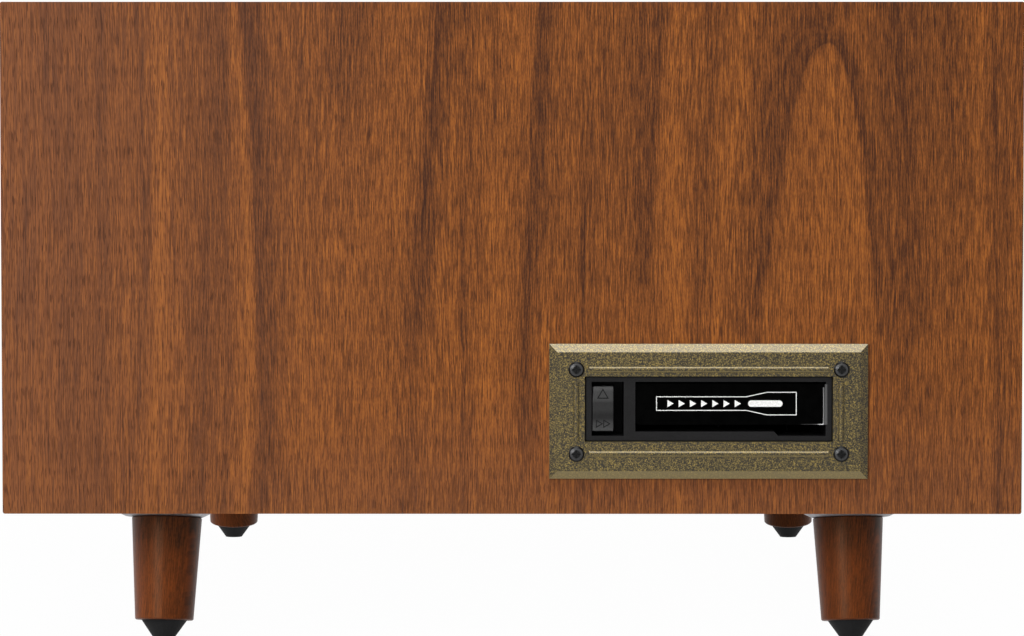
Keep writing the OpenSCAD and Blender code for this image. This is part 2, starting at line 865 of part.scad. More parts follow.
// The flap hangs from a barrel at its top and swings inwards
module cassette_flap() {
    flap_w = slot_w - flap_end_gap - side_gap;
    color(black) translate([flap_axis_x, cas_y + slot_left + side_gap, cas_z + flap_axis_z]) {
        rotate([-90, 0, 0]) cylinder(r = flap_barrel_r, h = flap_w);
        translate([0, -side_gap - flap_stub, 0]) rotate([-90, 0, 0])
            cylinder(r = flap_pivot_r, h = slot_w + 2 * flap_stub);
        side_slab(-flap_t / 2, flap_t) translate([flap_w / 2, -flap_h / 2]) round_rect(flap_w, flap_h, 1);
    }
}

// The button's cap slopes back at its top, and a bar carries it to the mechanism
module eject_button() {
    back_x = button_front - button_depth;
    color(grey_plastic) translate([0, cas_y + lever_y, cas_z + lever_z]) {
        rotate([90, 0, 0]) linear_extrude(button_w, center = true) polygon([
            [back_x, -button_h / 2], [button_front, -button_h / 2],
            [button_front, button_h / 2 - button_slope_h],
            [button_front - button_slope_d, button_h / 2], [back_x, button_h / 2],
        ]);
        block([lever_end, -lever_w / 2, -lever_h / 2], [back_x, lever_w / 2, lever_h / 2]);
    }
}

// Cassette mechanism
module in_unit() {
    translate([0, cas_y, cas_z]) children();
}

// A sheet with the carriage's guide posts, brackets for the housing and the button's bar, and four feet
module tape_chassis() {
    x0 = carriage_back - chassis_margin;
    floor_z = bottom_top - cas_z;
    color(steel) in_unit() difference() {
        union() {
            block([x0, chassis_y0, chassis_bottom], [housing_back, chassis_y1, chassis_top]);
            for (s = [-1, 1], y = guide_ys)
                post(cassette_mid_x + s * guide_dx, y, chassis_top, bay_top + guide_over, guide_r);
            for (y = [slot_left - divider_w, slot_right])
                block([housing_back - sheet_t, y, chassis_bottom], [housing_back, y + housing_rim, slot_top]);
            block(
                [bracket_x, lever_y - 6, chassis_bottom],
                [bracket_x + sheet_t, lever_y + 4, lever_z + 5]);
            for (x = [x0 + foot_r, housing_back - foot_r], y = [chassis_y0 + foot_r, chassis_y1 - foot_r])
                post(x, y, floor_z, chassis_bottom + fit_gap, foot_r);
            post(capstan_x, pinch_y, chassis_top, pinch_z + pinch_h + 1.5, reel_shaft_r);
        }
        block(
            [bracket_x - cut, lever_y - lever_w / 2 - side_gap, lever_z - lever_h / 2 - side_gap],
            [bracket_x + sheet_t + cut, lever_y + lever_w / 2 + side_gap, lever_z + lever_h / 2 + side_gap]);
        for (x = [take_up_x, supply_x])
            hole(x, hub_y, chassis_bottom, chassis_top, reel_shaft_r + run_gap);
        hole(capstan_x, capstan_y, chassis_bottom, chassis_top, capstan_r + run_gap);
        hole(tape_motor_x, tape_motor_y, chassis_bottom, chassis_top, tape_shaft_r + side_gap);
    }
}

// A sheet-metal tunnel for the cassette. Its ears slide on the chassis posts.
module cassette_carriage() {
    ear = 3.4;
    ear_sides = [[slot_left - guide_out - ear, slot_left], [slot_right, slot_right + guide_out + ear]];
    color(steel) in_unit() difference() {
        union() {
            block(
                [carriage_back, slot_left - sheet_t, bay_top],
                [carriage_front, slot_right + sheet_t, bay_top + sheet_t]);
            block([carriage_back, slot_left, bay_bottom], [carriage_back + sheet_t, slot_right, bay_top]);
            for (y = [slot_left - sheet_t, slot_right])
                block(
                    [carriage_back, y, bay_bottom - sheet_t],
                    [carriage_front, y + sheet_t, bay_top + sheet_t]);
            for (y = [slot_left - sheet_t, slot_right - carriage_lip])
                block(
                    [carriage_back, y, bay_bottom - sheet_t],
                    [carriage_front, y + carriage_lip + sheet_t, bay_bottom]);
            for (s = [-1, 1], side = ear_sides)
                block(
                    [cassette_mid_x + s * guide_dx - ear, side[0], bay_top],
                    [cassette_mid_x + s * guide_dx + ear, side[1], bay_top + 2 * sheet_t]);
        }
        for (s = [-1, 1], y = guide_ys)
            hole(cassette_mid_x + s * guide_dx, y, bay_top, bay_top + 2 * sheet_t, guide_r + run_gap);
        block(
            [capstan_x - pinch_r - 2, slot_right - carriage_lip - cut, bay_bottom - sheet_t - cut],
            [cassette_mid_x + head_w / 2 + 3, slot_right + sheet_t + cut, bay_top - 2]);
    }
}

module capstan_flywheel() {
    color(brass) in_unit() translate([capstan_x, capstan_y, 0]) {
        translate([0, 0, drive_bottom]) cylinder(r = flywheel_r, h = drive_t);
        translate([0, 0, drive_top - cut]) cylinder(r = capstan_r, h = spindle_top - drive_top + cut);
    }
}

// A reel spindle with three fins that turn the cassette's hub
module reel(x, foot) {
    base_z = chassis_top + side_gap;
    in_unit() translate([x, hub_y, 0]) {
        translate([0, 0, foot]) cylinder(r = reel_shaft_r, h = spindle_top - foot);
        translate([0, 0, base_z]) cylinder(r = reel_base_r, h = 2);
        translate([0, 0, base_z]) cylinder(r = reel_hub_r, h = spindle_top - base_z - 1);
        for (a = [0, 120, 240])
            rotate([0, 0, a]) block([0, -0.6, base_z], [reel_hub_r + 1.4, 0.6, spindle_top - 2]);
    }
}

module supply_spindle() {
    color(black) reel(supply_x, drive_top);
}

module take_up_spindle() {
    color(black) {
        reel(take_up_x, drive_bottom);
        in_unit() translate([take_up_x, hub_y, drive_bottom]) cylinder(r = take_up_pulley_r, h = drive_t);
    }
}

module tape_motor() {
    color(steel) in_unit() translate([tape_motor_x, tape_motor_y, chassis_top]) difference() {
        cylinder(r = tape_motor_r, h = tape_motor_h);
        translate([0, 0, -cut]) cylinder(r = tape_shaft_r + run_gap, h = 12 + cut);
    }
}

module tape_motor_pulley() {
    color(brass) in_unit() translate([tape_motor_x, tape_motor_y, drive_bottom]) {
        cylinder(r = tape_pulley_r, h = drive_t);
        cylinder(r = tape_shaft_r, h = chassis_top - drive_bottom + 11);
    }
}

module tape_belt() {
    color(rubber) in_unit() translate([0, 0, drive_bottom + (drive_t - tape_belt_w) / 2])
        belt(tape_pulleys, tape_belt_t, tape_belt_w);
}

// The head stands on the chassis beside the carriage's open side
module tape_head() {
    color(steel) in_unit() {
        block(
            [cassette_mid_x - head_w / 2, head_y, pinch_z],
            [cassette_mid_x + head_w / 2, head_y + head_depth, pinch_z + head_h]);
        block([cassette_mid_x - head_w / 2 - 3, head_y + 1.5, chassis_top],
            [cassette_mid_x + head_w / 2 + 3, head_y + head_depth - 0.5, pinch_z]);
    }
}

module pinch_roller() {
    color(rubber) in_unit() translate([capstan_x, pinch_y, pinch_z]) difference() {
        cylinder(r = pinch_r, h = pinch_h);
        translate([0, 0, -cut]) cylinder(r = reel_shaft_r + run_gap, h = pinch_h + 2 * cut);
    }
}

// Turntable
module platter() {
    skirt_bottom = deck_top + 2;
    ring_bottom = deck_top + 2.5;
    hub_bottom = bearing_top + side_gap;
    underside = platter_top - platter_skin;
    color(steel) translate([platter_x, platter_y, 0]) rotate_extrude($fn = 128) polygon([
        [journal_r, platter_top], [platter_r - 1.5, platter_top], [platter_r, platter_top - 1.5],
        [platter_r, skirt_bottom], [platter_r - skirt_t, skirt_bottom], [platter_r - skirt_t, underside],
        [drive_ring_r, underside], [drive_ring_r, ring_bottom], [drive_ring_r - ring_t, ring_bottom],
        [drive_ring_r - ring_t, underside], [platter_hub_r, underside],
        [platter_hub_r, hub_bottom], [journal_r, hub_bottom],
    ]);
}

// A rubber mat with ring grooves and a sunk middle for the record's label
module platter_mat() {
    groove = mat_t - mat_ring_d;
    grooves = [for (i = [mat_ring_count : -1 : 1]) let (r = label_r + i * mat_ring_pitch, h = mat_ring_w / 2)
        each [[r + h, mat_t], [r + h, groove], [r - h, groove], [r - h, mat_t]]];
    color(rubber) translate([platter_x, platter_y, platter_top]) rotate_extrude($fn = 128) polygon(concat(
        [[journal_r + fit_gap, 0], [mat_r, 0], [mat_r, mat_t - mat_edge], [mat_r - mat_edge, mat_t]],
        grooves,
        [[label_r, mat_t], [label_r - mat_edge, groove], [journal_r + fit_gap, groove]]));
}

module spindle() {
    color(steel) translate([platter_x, platter_y, 0]) rotate_extrude() polygon([
        [0, journal_end], [journal_r, journal_end], [journal_r, mat_top],
        [spindle_r, mat_top], [spindle_r, mat_top + spindle_h],
        [spindle_r * 0.5, mat_top + spindle_h + bullet_h], [0, mat_top + spindle_h + bullet_h],
    ]);
}

module spindle_bearing() {
    flange_r = bearing_r + 4;
    color(brass) translate([platter_x, platter_y, 0]) rotate_extrude() polygon([
        [0, bearing_bottom], [bearing_r, bearing_bottom], [bearing_r, dish_floor],
        [flange_r, dish_floor], [flange_r, dish_floor + 2], [bearing_r, dish_floor + 2],
        [bearing_r, bearing_top], [journal_r + run_gap, bearing_top],
        [journal_r + run_gap, journal_end - side_gap], [0, journal_end - side_gap],
    ]);
}

module drive_belt() {
    color(rubber) translate([0, 0, belt_z]) belt(turntable_pulleys, belt_t, belt_w);
}

module turntable_motor() {
    color(steel) translate([motor_x, motor_y, deck_bottom - motor_h]) difference() {
        union() {
            cylinder(r = motor_r, h = motor_h);
            translate([0, 0, motor_h - 2]) cylinder(r = motor_r + 5, h = 2);
        }
        translate([0, 0, motor_h - 14]) cylinder(r = motor_shaft_r + run_gap, h = 14 + cut);
    }
}

// A two-step pulley on the motor's shaft
module motor_pulley() {
    color(brass) translate([motor_x, motor_y, 0]) {
        translate([0, 0, deck_bottom - 13]) cylinder(r = motor_shaft_r, h = deck_t + 13 + cut);
        translate([0, 0, deck_top + 1.5]) cylinder(r = motor_pulley_r - 1.5, h = 2);
        translate([0, 0, deck_top]) cylinder(r = motor_pulley_r - 2.5, h = 3);
        translate([0, 0, belt_z - 1]) cylinder(r = motor_pulley_r, h = belt_w + 2);
    }
}

// A small turning lever on the deck
module speed_lever() {
    color(grey_plastic) translate([speed_x, speed_y, 0]) {
        translate([0, 0, deck_bottom - 4]) cylinder(r = speed_shaft_r, h = deck_t + 5);
        translate([0, 0, deck_top + side_gap]) cylinder(r1 = speed_knob_r, r2 = speed_knob_r - 1, h = 5);
        block([-2.5, -speed_bar, deck_top + side_gap], [2.5, 0, deck_top + 7]);
    }
}

// Tonearm
module at_pivot(z) {
    translate([arm_x, arm_y, z]) children();
}

// Direction from the pivot, turned from the front towards the platter
function arm_way(angle) = [-sin(angle), -cos(angle)];

module at_lift_rod(z) {
    way = arm_way(lift_rod_at);
    translate([arm_x + lift_arc_r * way.x, arm_y + lift_arc_r * way.y, z]) children();
}

module arm_base() {
    color(black) difference() {
        union() {
            at_pivot(deck_top) cylinder(r1 = arm_base_r, r2 = arm_base_r - 1, h = arm_base_h);
            at_lift_rod(deck_top) cylinder(r = lift_post_r, h = arm_base_h);
            at_pivot(deck_top) rotate([0, 0, -lift_rod_at])
                block([-lift_post_r, -lift_arc_r, 0], [lift_post_r, 0, arm_base_h - 2]);
        }
        at_pivot(deck_top + 1) cylinder(r = gimbal_shaft_r + run_gap, h = arm_base_h);
        at_lift_rod(deck_top + 1) cylinder(r = lift_rod_r + run_gap, h = arm_base_h);
        at_pivot(cue_z) cross_pin(arm_base_r - 9, arm_base_r + cut, cue_shaft_r + run_gap);
    }
}

// A turning fork that carries the arm's pivots
module arm_gimbal() {
    base_z = arm_base_top + side_gap - arm_z;
    color(steel) at_pivot(arm_z) difference() {
        union() {
            translate([0, 0, deck_top + 1.5 - arm_z]) cylinder(r = gimbal_shaft_r, h = arm_base_h);
            translate([0, 0, base_z]) cylinder(r = gimbal_r, h = gimbal_t);
            for (s = [0, 1]) mirror([s, 0, 0]) {
                block([gimbal_arm_in, -gimbal_arm_w / 2, base_z], [gimbal_arm_out, gimbal_arm_w / 2, 0]);
                cross_pin(gimbal_arm_in, gimbal_arm_out, gimbal_arm_w / 2);
            }
        }
        cross_pin(-gimbal_arm_out - cut, gimbal_arm_out + cut, trunnion_r + run_gap);
    }
}

// The arm is one moulding: tail, pivot block, tube and angled head
module arm_head() {
    translate([0, -arm_reach, 0]) rotate([0, 0, -head_angle]) children();
}

module arm_tube() {
    finger = 12;
    color(steel) at_pivot(arm_z) {
        rotate([-90, 0, 0]) cylinder(r = tail_r, h = weight_y + weight_len + 3);
        rotate([90, 0, 0]) cylinder(r = arm_tube_r, h = arm_reach);
        translate([-pivot_block, -pivot_block, -pivot_block]) cube(2 * pivot_block);
        cross_pin(-gimbal_arm_out, gimbal_arm_out, trunnion_r);
        arm_head() {
            rotate([90, 0, 0]) cylinder(r = arm_tube_r + 1, h = 8, center = true);
            block(
                [-head_plate_w / 2, -head_plate_len, -head_plate_t / 2],
                [head_plate_w / 2, 0, head_plate_t / 2]);
            block(
                [head_plate_w / 2 - cut, -head_plate_len + 2, 0],
                [head_plate_w / 2 + finger, -head_plate_len + 5, head_plate_t / 2]);
        }
    }
}

module cartridge() {
    front = head_plate_len - 3;
    color(black) at_pivot(arm_z - head_plate_t / 2) arm_head() {
        block([-cartridge_w / 2, -front, -cartridge_h], [cartridge_w / 2, cartridge_len - front, 0]);
        translate([0, 4 - front, -cartridge_h - stylus_h])
            cylinder(r1 = 0.4, r2 = 1.6, h = stylus_h + fit_gap);
    }
}

// A turned weight: scale ring in front, two grooves for the fingers and a narrower end
module counterweight() {
    bore = tail_r + fit_gap;
    edge = 0.8;
    waist = weight_r - 1.2;
    groove_at = [0.3, 0.5];
    groove_w = 2;
    end_len = 5;
    shoulder = weight_len - end_len;
    grooves = [for (g = groove_at) let (z = g * weight_len)
        each [[weight_r, z], [waist, z], [waist, z + groove_w], [weight_r, z + groove_w]]];
    color(steel) at_pivot(arm_z)
        translate([0, weight_y, 0]) rotate([-90, 0, 0]) rotate_extrude() polygon(concat(
        [[bore, 0], [weight_r - edge, 0], [weight_r, edge]],
        grooves,
        [[weight_r, shoulder - edge], [weight_r - edge, shoulder], [weight_r - 2 * edge, shoulder],
         [weight_r - 2 * edge, weight_len - edge], [weight_r - 3 * edge, weight_len], [bore, weight_len]]));
}

// A post with a shelf under the arm and a stop on the outer side
module arm_rest() {
    shelf_z = arm_z - arm_tube_r - side_gap;
    stop_x = arm_tube_r + side_gap;
    color(black) translate([arm_x, arm_y - rest_dist, 0]) {
        translate([0, 0, deck_top]) cylinder(r1 = rest_base_r, r2 = rest_r, h = 5);
        translate([0, 0, deck_top]) cylinder(r = rest_r, h = shelf_z - deck_top - 1);
        block([-rest_fork_w / 2, -4, shelf_z - 3], [rest_fork_w / 2, 4, shelf_z]);
        block([stop_x, -4, shelf_z - 3], [stop_x + 3, 4, arm_z + 2]);
    }
}

module cue_lever() {
    hub_x = arm_base_r + side_gap;
    knob_r = 3.5;
    color(grey_plastic) at_pivot(cue_z) {
        cross_pin(hub_x - 8, hub_x + cut, cue_shaft_r);
        cross_pin(hub_x, hub_x + cue_hub_w, cue_hub_r);
        block([hub_x, -cue_lever_len, -1.5], [hub_x + cue_hub_w, 0, 1.5]);
        translate([0, -cue_lever_len, 0]) cross_pin(hub_x, hub_x + cue_hub_w, knob_r);
    }
}

// An arc under the arm on a rod that slides in the base
module cue_lift() {
    top = arm_z - arm_tube_r - side_gap;
    color(grey_plastic) {
        at_pivot(top - lift_t) rotate([0, 0, 270 - lift_to]) rotate_extrude(angle = lift_to - lift_from)
            translate([lift_arc_r - lift_w / 2, 0]) square([lift_w, lift_t]);
        at_lift_rod(deck_top + 2) cylinder(r = lift_rod_r, h = top - deck_top - 3);
    }
}

// Front
module speaker_grilles() {
    color(bronze) for (s = [-1, 1]) difference() {
        facing_front(s * speaker_x, baffle_front, grille_z)
            bevelled_plate(grille_w, control_h, grille_t, grille_frame_w / 2, grille_t / 2);
        translate([s * speaker_x, 0, grille_z]) front_slab(baffle_front - grille_t - cut, grille_t + 2 * cut)
            square([grille_w - 2 * grille_frame_w, control_h - 2 * grille_frame_w], center = true);
    }
}

// Stretched grille cloth, as a thin pad with a slight crown inside each frame
module grille_cloths() {
    pad_w = grille_w - 2 * grille_frame_w - 2 * side_gap;
    pad_h = control_h - 2 * grille_frame_w - 2 * side_gap;
    color(cloth) for (s = [-1, 1])
        facing_front(s * speaker_x, baffle_front, grille_z) bevelled_plate(pad_w, pad_h, grille_t / 2, 4, 1);
}

module speaker() {
    magnet_r = 22;
    magnet_h = 13;
    rim_t = 2.2;
    yoke = speaker_depth - magnet_h;
    rotate_extrude() polygon([
        [cone_r + side_gap, 0], [speaker_r, 0], [speaker_r, rim_t], [speaker_r - 3, rim_t],
        [magnet_r - 1, yoke], [magnet_r, yoke], [magnet_r, speaker_depth], [0, speaker_depth],
        [0, yoke - 1], [magnet_r - 4, yoke - 1], [speaker_r - 6, rim_t], [cone_r + side_gap, rim_t],
    ]);
    rotate_extrude() polygon([
        [cone_r, 0.5], [cone_r - 3, 0.1], [cone_r - 5, 0.6], [9, 12], [6, 9.6], [0, 8.6],
        [0, 9.6], [5.6, 10.6], [8.6, 13.2], [cone_r - 5, 1.6], [cone_r - 3, 1.1], [cone_r, 1.5],
    ]);
}

module speakers() {
    color(paper) for (s = [-1, 1]) facing_rear(s * speaker_x, baffle_back, speaker_z) speaker();
}

module control_plate() {
    color(bronze) difference() {
        union() {
            facing_front(0, baffle_front, plate_z0 + control_h / 2)
                bevelled_plate(control_w, control_h, control_t, bevel_w, bevel_d);
            facing_front(0, baffle_front, dial_z)
                cylinder(r = dial_r + dial_ring_w, h = control_t + dial_ring_h);
        }
        facing_front(0, plate_front + dial_depth, dial_z)
            cylinder(r = dial_r, h = dial_depth + dial_ring_h + cut);
        facing_front(0, baffle_front, dial_z) hole(0, 0, 0, control_t, sleeve_r + run_gap);
        for (s = [-1, 1])
            facing_front(s * knob_dx, baffle_front, knob_z) hole(0, 0, 0, control_t, shaft_r + side_gap);
    }
}

// The pointer turns on a sleeve round the tuning shaft
module dial_pointer() {
    rise = 0.4;
    color(brass) facing_front(0, plate_front + dial_depth, dial_z) difference() {
        union() {
            translate([0, 0, -control_t + dial_depth - baffle_t / 2])
                cylinder(r = sleeve_r, h = control_t - dial_depth + baffle_t / 2 + rise + pointer_t);
            translate([0, 0, rise]) cylinder(r = sleeve_r + 2, h = pointer_t);
            translate([0, 0, rise]) block([-pointer_w / 2, 0, 0], [pointer_w / 2, pointer_len, pointer_t]);
        }
        hole(0, 0, -control_t - baffle_t, pointer_t + rise, shaft_r + run_gap);
    }
}

// A fluted knob on its shaft, with an index groove on its face
module knob(r) {
    flutes = 24;
    color(black) difference() {
        union() {
            translate([0, 0, -shaft_len]) cylinder(r = shaft_r, h = shaft_len + knob_gap + 2);
            translate([0, 0, knob_gap]) cylinder(r = r, h = 2);
            translate([0, 0, knob_gap]) cylinder(r = r - 0.6, h = knob_len - 1);
            translate([0, 0, knob_gap]) cylinder(r = r - 1.8, h = knob_len);
        }
        for (a = [0 : 360 / flutes : 359])
            rotate([0, 0, a]) translate([r - 0.4, 0, knob_gap + 2]) cylinder(r = 0.8, h = knob_len, $fn = 24);
        translate([0, 0, knob_gap + knob_len - 0.6]) block([-0.6, r * 0.35, 0], [0.6, r, cut + 0.6]);
    }
}

module tuning_knob() facing_front(0, plate_front, dial_z) knob(tuning_knob_r);
module volume_knob() facing_front(-knob_dx, plate_front, knob_z) knob(knob_r);
module function_knob() facing_front(knob_dx, plate_front, knob_z) knob(knob_r);

// The circuit board carries the three controls, whose bodies sit against the baffle
module main_board() {
    color(board_green) difference() {
        union() {
            block(
                [-board_w / 2, baffle_back + pot_h, board_z0],
                [board_w / 2, baffle_back + pot_h + board_t, board_z1]);
            for (p = control_places)
                facing_rear(p.x, baffle_back, p.y) cylinder(r = pot_r, h = pot_h + fit_gap);
            for (i = [-1, 0, 1])
                facing_rear(i * can_pitch, baffle_back + pot_h, board_z0 + can_pitch)
                    cylinder(r = can_r, h = can_h);
            facing_rear(-heat_sink.x, baffle_back + pot_h, board_z0 + 2 * heat_sink.y)
                linear_extrude(heat_sink.z) square([heat_sink.x, heat_sink.y], center = true);
        }
        for (p = control_places)
            facing_rear(p.x, baffle_back - cut, p.y) cylinder(r = shaft_r + run_gap, h = shaft_tail + 1.5);
    }
}

// Rear
module connector_plate() {
    color(black) difference() {
        front_slab(plate_y, connector_t) translate([connector_x, connector_z])
            round_rect(connector_w, connector_h, 3);
        for (x = jack_x)
            facing_rear(x, plate_y, connector_z) hole(0, 0, 0, connector_t, collar_r + fit_gap);
    }
}

// A socket: a body behind the plate, a collar through it, a barrel and a hole down the middle
module socket(barrel_r, barrel_len, hole_r, hole_len) {
    difference() {
        union() {
            translate([0, 0, -jack_body_len]) cylinder(r = jack_body_r, h = jack_body_len);
            cylinder(r = collar_r, h = connector_t);
            cylinder(r = barrel_r, h = connector_t + barrel_len);
        }
        translate([0, 0, connector_t + barrel_len - hole_len]) cylinder(r = hole_r, h = hole_len + cut);
    }
}

module rear_jacks() {
    color(brass) {
        for (i = [0, 1])
            facing_rear(jack_x[i], plate_y, connector_z)
                socket(line_out_r, line_out_len, line_pin_r, line_out_len);
        facing_rear(jack_x[2], plate_y, connector_z)
            socket(phones_nut_r, phones_nut_len, phones_r, phones_len);
        facing_rear(jack_x[3], plate_y, connector_z) {
            socket(inlet_r, inlet_len, inlet_hole_r, inlet_depth);
            translate([0, 0, -4]) cylinder(r = inlet_pin_r, h = connector_t + inlet_len + 3);
        }
    }
}

right_side_panel();
left_side_panel();
front_baffle();
back_panel();
bottom_panel();
deck_rails();
deck_plate();
lid_panel();
hinge_lid_leaves();
hinge_cabinet_leaves();
hinge_pins();
leg_front_left();
leg_front_right();
leg_rear_left();
leg_rear_right();
leg_plates();
leg_bolts();
leg_tips();
cassette_bezel();
bezel_screws();
cassette_housing();
cassette_flap();
eject_button();
tape_chassis();
cassette_carriage();
capstan_flywheel();
supply_spindle();
take_up_spindle();
tape_motor();
tape_motor_pulley();
tape_belt();
tape_head();
pinch_roller();
platter();
platter_mat();
spindle();
spindle_bearing();
drive_belt();
turntable_motor();
motor_pulley();
speed_lever();
arm_base();
arm_gimbal();
arm_tube();
cartridge();
counterweight();
arm_rest();
cue_lever();
cue_lift();
speaker_grilles();
grille_cloths();
speakers();
control_plate();
dial_pointer();
tuning_knob();
volume_knob();
function_knob();
main_board();
connector_plate();
rear_jacks();
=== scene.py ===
# %% [markdown]
# # A tabletop record player, dressed in Blender
# The CAD model gives every rigid piece of the player: cabinet, legs, turntable, tonearm, radio front and the
# slot-loading cassette unit in its right side. This lesson keeps those solids as a fixed frame and adds what
# CAD can't say: veneer, speckled bronze, cloth, printed scales and small screws. Studio lengths are in
# metres. Lengths on the player are in millimetres, and MM turns them into metres. A HAIR
# tells two points apart.

# %% Load the CAD frame
import functools
import json
import math

import bpy
from mathutils import Matrix, Vector


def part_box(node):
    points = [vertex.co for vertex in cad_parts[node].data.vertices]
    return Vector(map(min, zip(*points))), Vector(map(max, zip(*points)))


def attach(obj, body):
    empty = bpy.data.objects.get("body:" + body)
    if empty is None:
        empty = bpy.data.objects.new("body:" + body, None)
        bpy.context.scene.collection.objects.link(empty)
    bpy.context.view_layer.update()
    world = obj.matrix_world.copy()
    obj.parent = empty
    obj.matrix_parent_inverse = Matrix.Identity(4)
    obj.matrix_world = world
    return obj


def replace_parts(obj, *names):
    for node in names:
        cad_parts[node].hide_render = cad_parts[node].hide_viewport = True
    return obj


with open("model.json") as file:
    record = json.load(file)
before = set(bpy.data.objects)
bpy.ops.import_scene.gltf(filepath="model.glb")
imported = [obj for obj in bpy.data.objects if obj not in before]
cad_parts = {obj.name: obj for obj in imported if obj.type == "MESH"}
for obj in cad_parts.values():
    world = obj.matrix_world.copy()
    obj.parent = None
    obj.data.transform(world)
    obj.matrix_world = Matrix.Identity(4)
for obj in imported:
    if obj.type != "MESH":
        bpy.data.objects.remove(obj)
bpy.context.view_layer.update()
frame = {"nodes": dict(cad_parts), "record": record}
cad_nodes = frame["nodes"]
MM = 0.001
HAIR = 0.001 * MM


def box_mm(name):
    """The lowest and the highest corner of a CAD node, in millimetres."""
    return [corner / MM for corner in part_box(name)]


# %% [markdown]
# ## Camera
# The picture is an almost straight look at the right side of the cabinet from about one and a half metres,
# with a long lens that is tilted a little downwards. A long lens keeps the panel's edges nearly parallel,
# and the far legs still come out smaller than the near ones.

# %% Camera
CAMERA_PLACE = (1.64, 0.0049, 0.190)
CAMERA_PITCH = 2.915
CAMERA_TURN = 0.196
CAMERA_LENS = 143.8
camera_turn = (math.radians(90 - CAMERA_PITCH), 0, math.radians(90 + CAMERA_TURN))
bpy.ops.object.camera_add(location=CAMERA_PLACE, rotation=camera_turn)
camera = bpy.context.object
camera.data.sensor_width = 36
camera.data.lens = CAMERA_LENS
bpy.context.scene.camera = camera
bpy.context.scene.view_settings.view_transform = "Standard"
print("Camera looks along -X from", tuple(camera.location))

# %% [markdown]
# ## Helpers for shader nodes
# Every finish below is built from nodes. Writing each node by hand takes many lines, so one helper adds a
# node and feeds its sockets with numbers or with the outputs of other nodes. An output knows the tree it
# belongs to, so sums and mixes need no more than their values.

# %% Node helpers
def put(tree, kind, feeds=(), **settings):
    """Adds a node, sets its properties and feeds its sockets with numbers or with other outputs."""
    made = tree.nodes.new(kind)
    for name, value in settings.items():
        setattr(made, name, value)
    for socket, value in dict(feeds).items():
        if isinstance(value, bpy.types.NodeSocket):
            tree.links.new(value, made.inputs[socket])
        else:
            made.inputs[socket].default_value = value
    return made


def tree_of(values):
    """The node tree of the first output among some values."""
    return next(value.id_data for value in values if isinstance(value, bpy.types.NodeSocket))


def link(output, socket):
    """Connects an output with a socket of the same tree."""
    output.id_data.links.new(output, socket)


def calc(operation, *values):
    """One Math node, as in calc("POWER", a, b)."""
    return put(tree_of(values), "ShaderNodeMath", enumerate(values), operation=operation).outputs[0]


def folded(operation):
    """A function that joins any number of values with one operation, from left to right."""
    return lambda *values: functools.reduce(functools.partial(calc, operation), values)


add, sub, mul, div = (folded(name) for name in ("ADD", "SUBTRACT", "MULTIPLY", "DIVIDE"))


def bell(value):
    """A bell curve: 1 at zero, less on both sides."""
    return calc("EXPONENT", mul(value, value, -1.0))


def choose(switch, first, second):
    """The first value where the switch is 0, the second where it is 1, a mix between."""
    return put(tree_of([switch]), "ShaderNodeMix", {0: switch, 2: first, 3: second}).outputs[0]


def map_range(value, low, high, to_low=0.0, to_high=1.0, kind="LINEAR"):
    """Turns the range from low to high into the range from to_low to to_high."""
    feeds = {"Value": value, "From Min": low, "From Max": high, "To Min": to_low, "To Max": to_high}
    return put(tree_of([value]), "ShaderNodeMapRange", feeds, interpolation_type=kind).outputs[0]


def smooth_step(value, low, high):
    """Goes smoothly from 0 at low to 1 at high."""
    return map_range(value, low, high, kind="SMOOTHSTEP")


def blend_colours(factor, first, second):
    """Mixes two colours by a factor from 0 to 1."""
    feeds = {0: factor, 6: first, 7: second}
    return put(tree_of([factor]), "ShaderNodeMix", feeds, data_type="RGBA").outputs[2]


def colour_ramp(factor, stops):
    """A ramp of colours, with stops given as (place from 0 to 1, colour)."""
    ramp = put(tree_of([factor]), "ShaderNodeValToRGB", {"Fac": factor})
    for place, _ in stops[1:-1]:
        ramp.color_ramp.elements.new(place)
    for element, (place, colour) in zip(ramp.color_ramp.elements, stops):
        element.position = place
        element.color = colour
    return ramp.outputs["Color"]


def new_group(name, takes, gives):
    """A node group. Inputs are given as (name, default), with None for a vector, and outputs by name."""
    group = bpy.data.node_groups.new(name, "ShaderNodeTree")
    for title, default in takes:
        kind = "NodeSocketVector" if default is None else "NodeSocketFloat"
        socket = group.interface.new_socket(title, in_out="INPUT", socket_type=kind)
        if default is not None:
            socket.default_value = default
    for title in gives:
        kind = "NodeSocketColor" if title == "Color" else "NodeSocketFloat"
        group.interface.new_socket(title, in_out="OUTPUT", socket_type=kind)
    return group, put(group, "NodeGroupInput").outputs, put(group, "NodeGroupOutput").inputs


def use_group(group, feeds):
    """Places a node group in the tree of its feeds."""
    return put(tree_of(feeds.values()), "ShaderNodeGroup", feeds, node_tree=group).outputs


def paint(red, green, blue):
    """A colour from the three numbers of a paint chart, 0 to 255, made linear for the shader."""
    shares = [c / 255 for c in (red, green, blue)]
    return (*(((c + 0.055) / 1.055) ** 2.4 if c > 0.04 else c / 12.92 for c in shares), 1.0)


print("Node helpers are ready")

# %% [markdown]
# ## Helpers for finishes
# A finish is a material whose shader gets its plain numbers straight away. What varies over a piece is
# worked out from the object's own coordinates, so the pattern stays on the piece when it moves.

# %% Finish helpers
def new_finish(name, numbers):
    """A material with some numbers set: the material, its shader and its coordinates."""
    made = bpy.data.materials.new(name)
    made.use_nodes = True
    shader = made.node_tree.nodes["Principled BSDF"]
    for socket, value in numbers.items():
        shader.inputs[socket].default_value = value
    return made, shader, put(made.node_tree, "ShaderNodeTexCoord").outputs


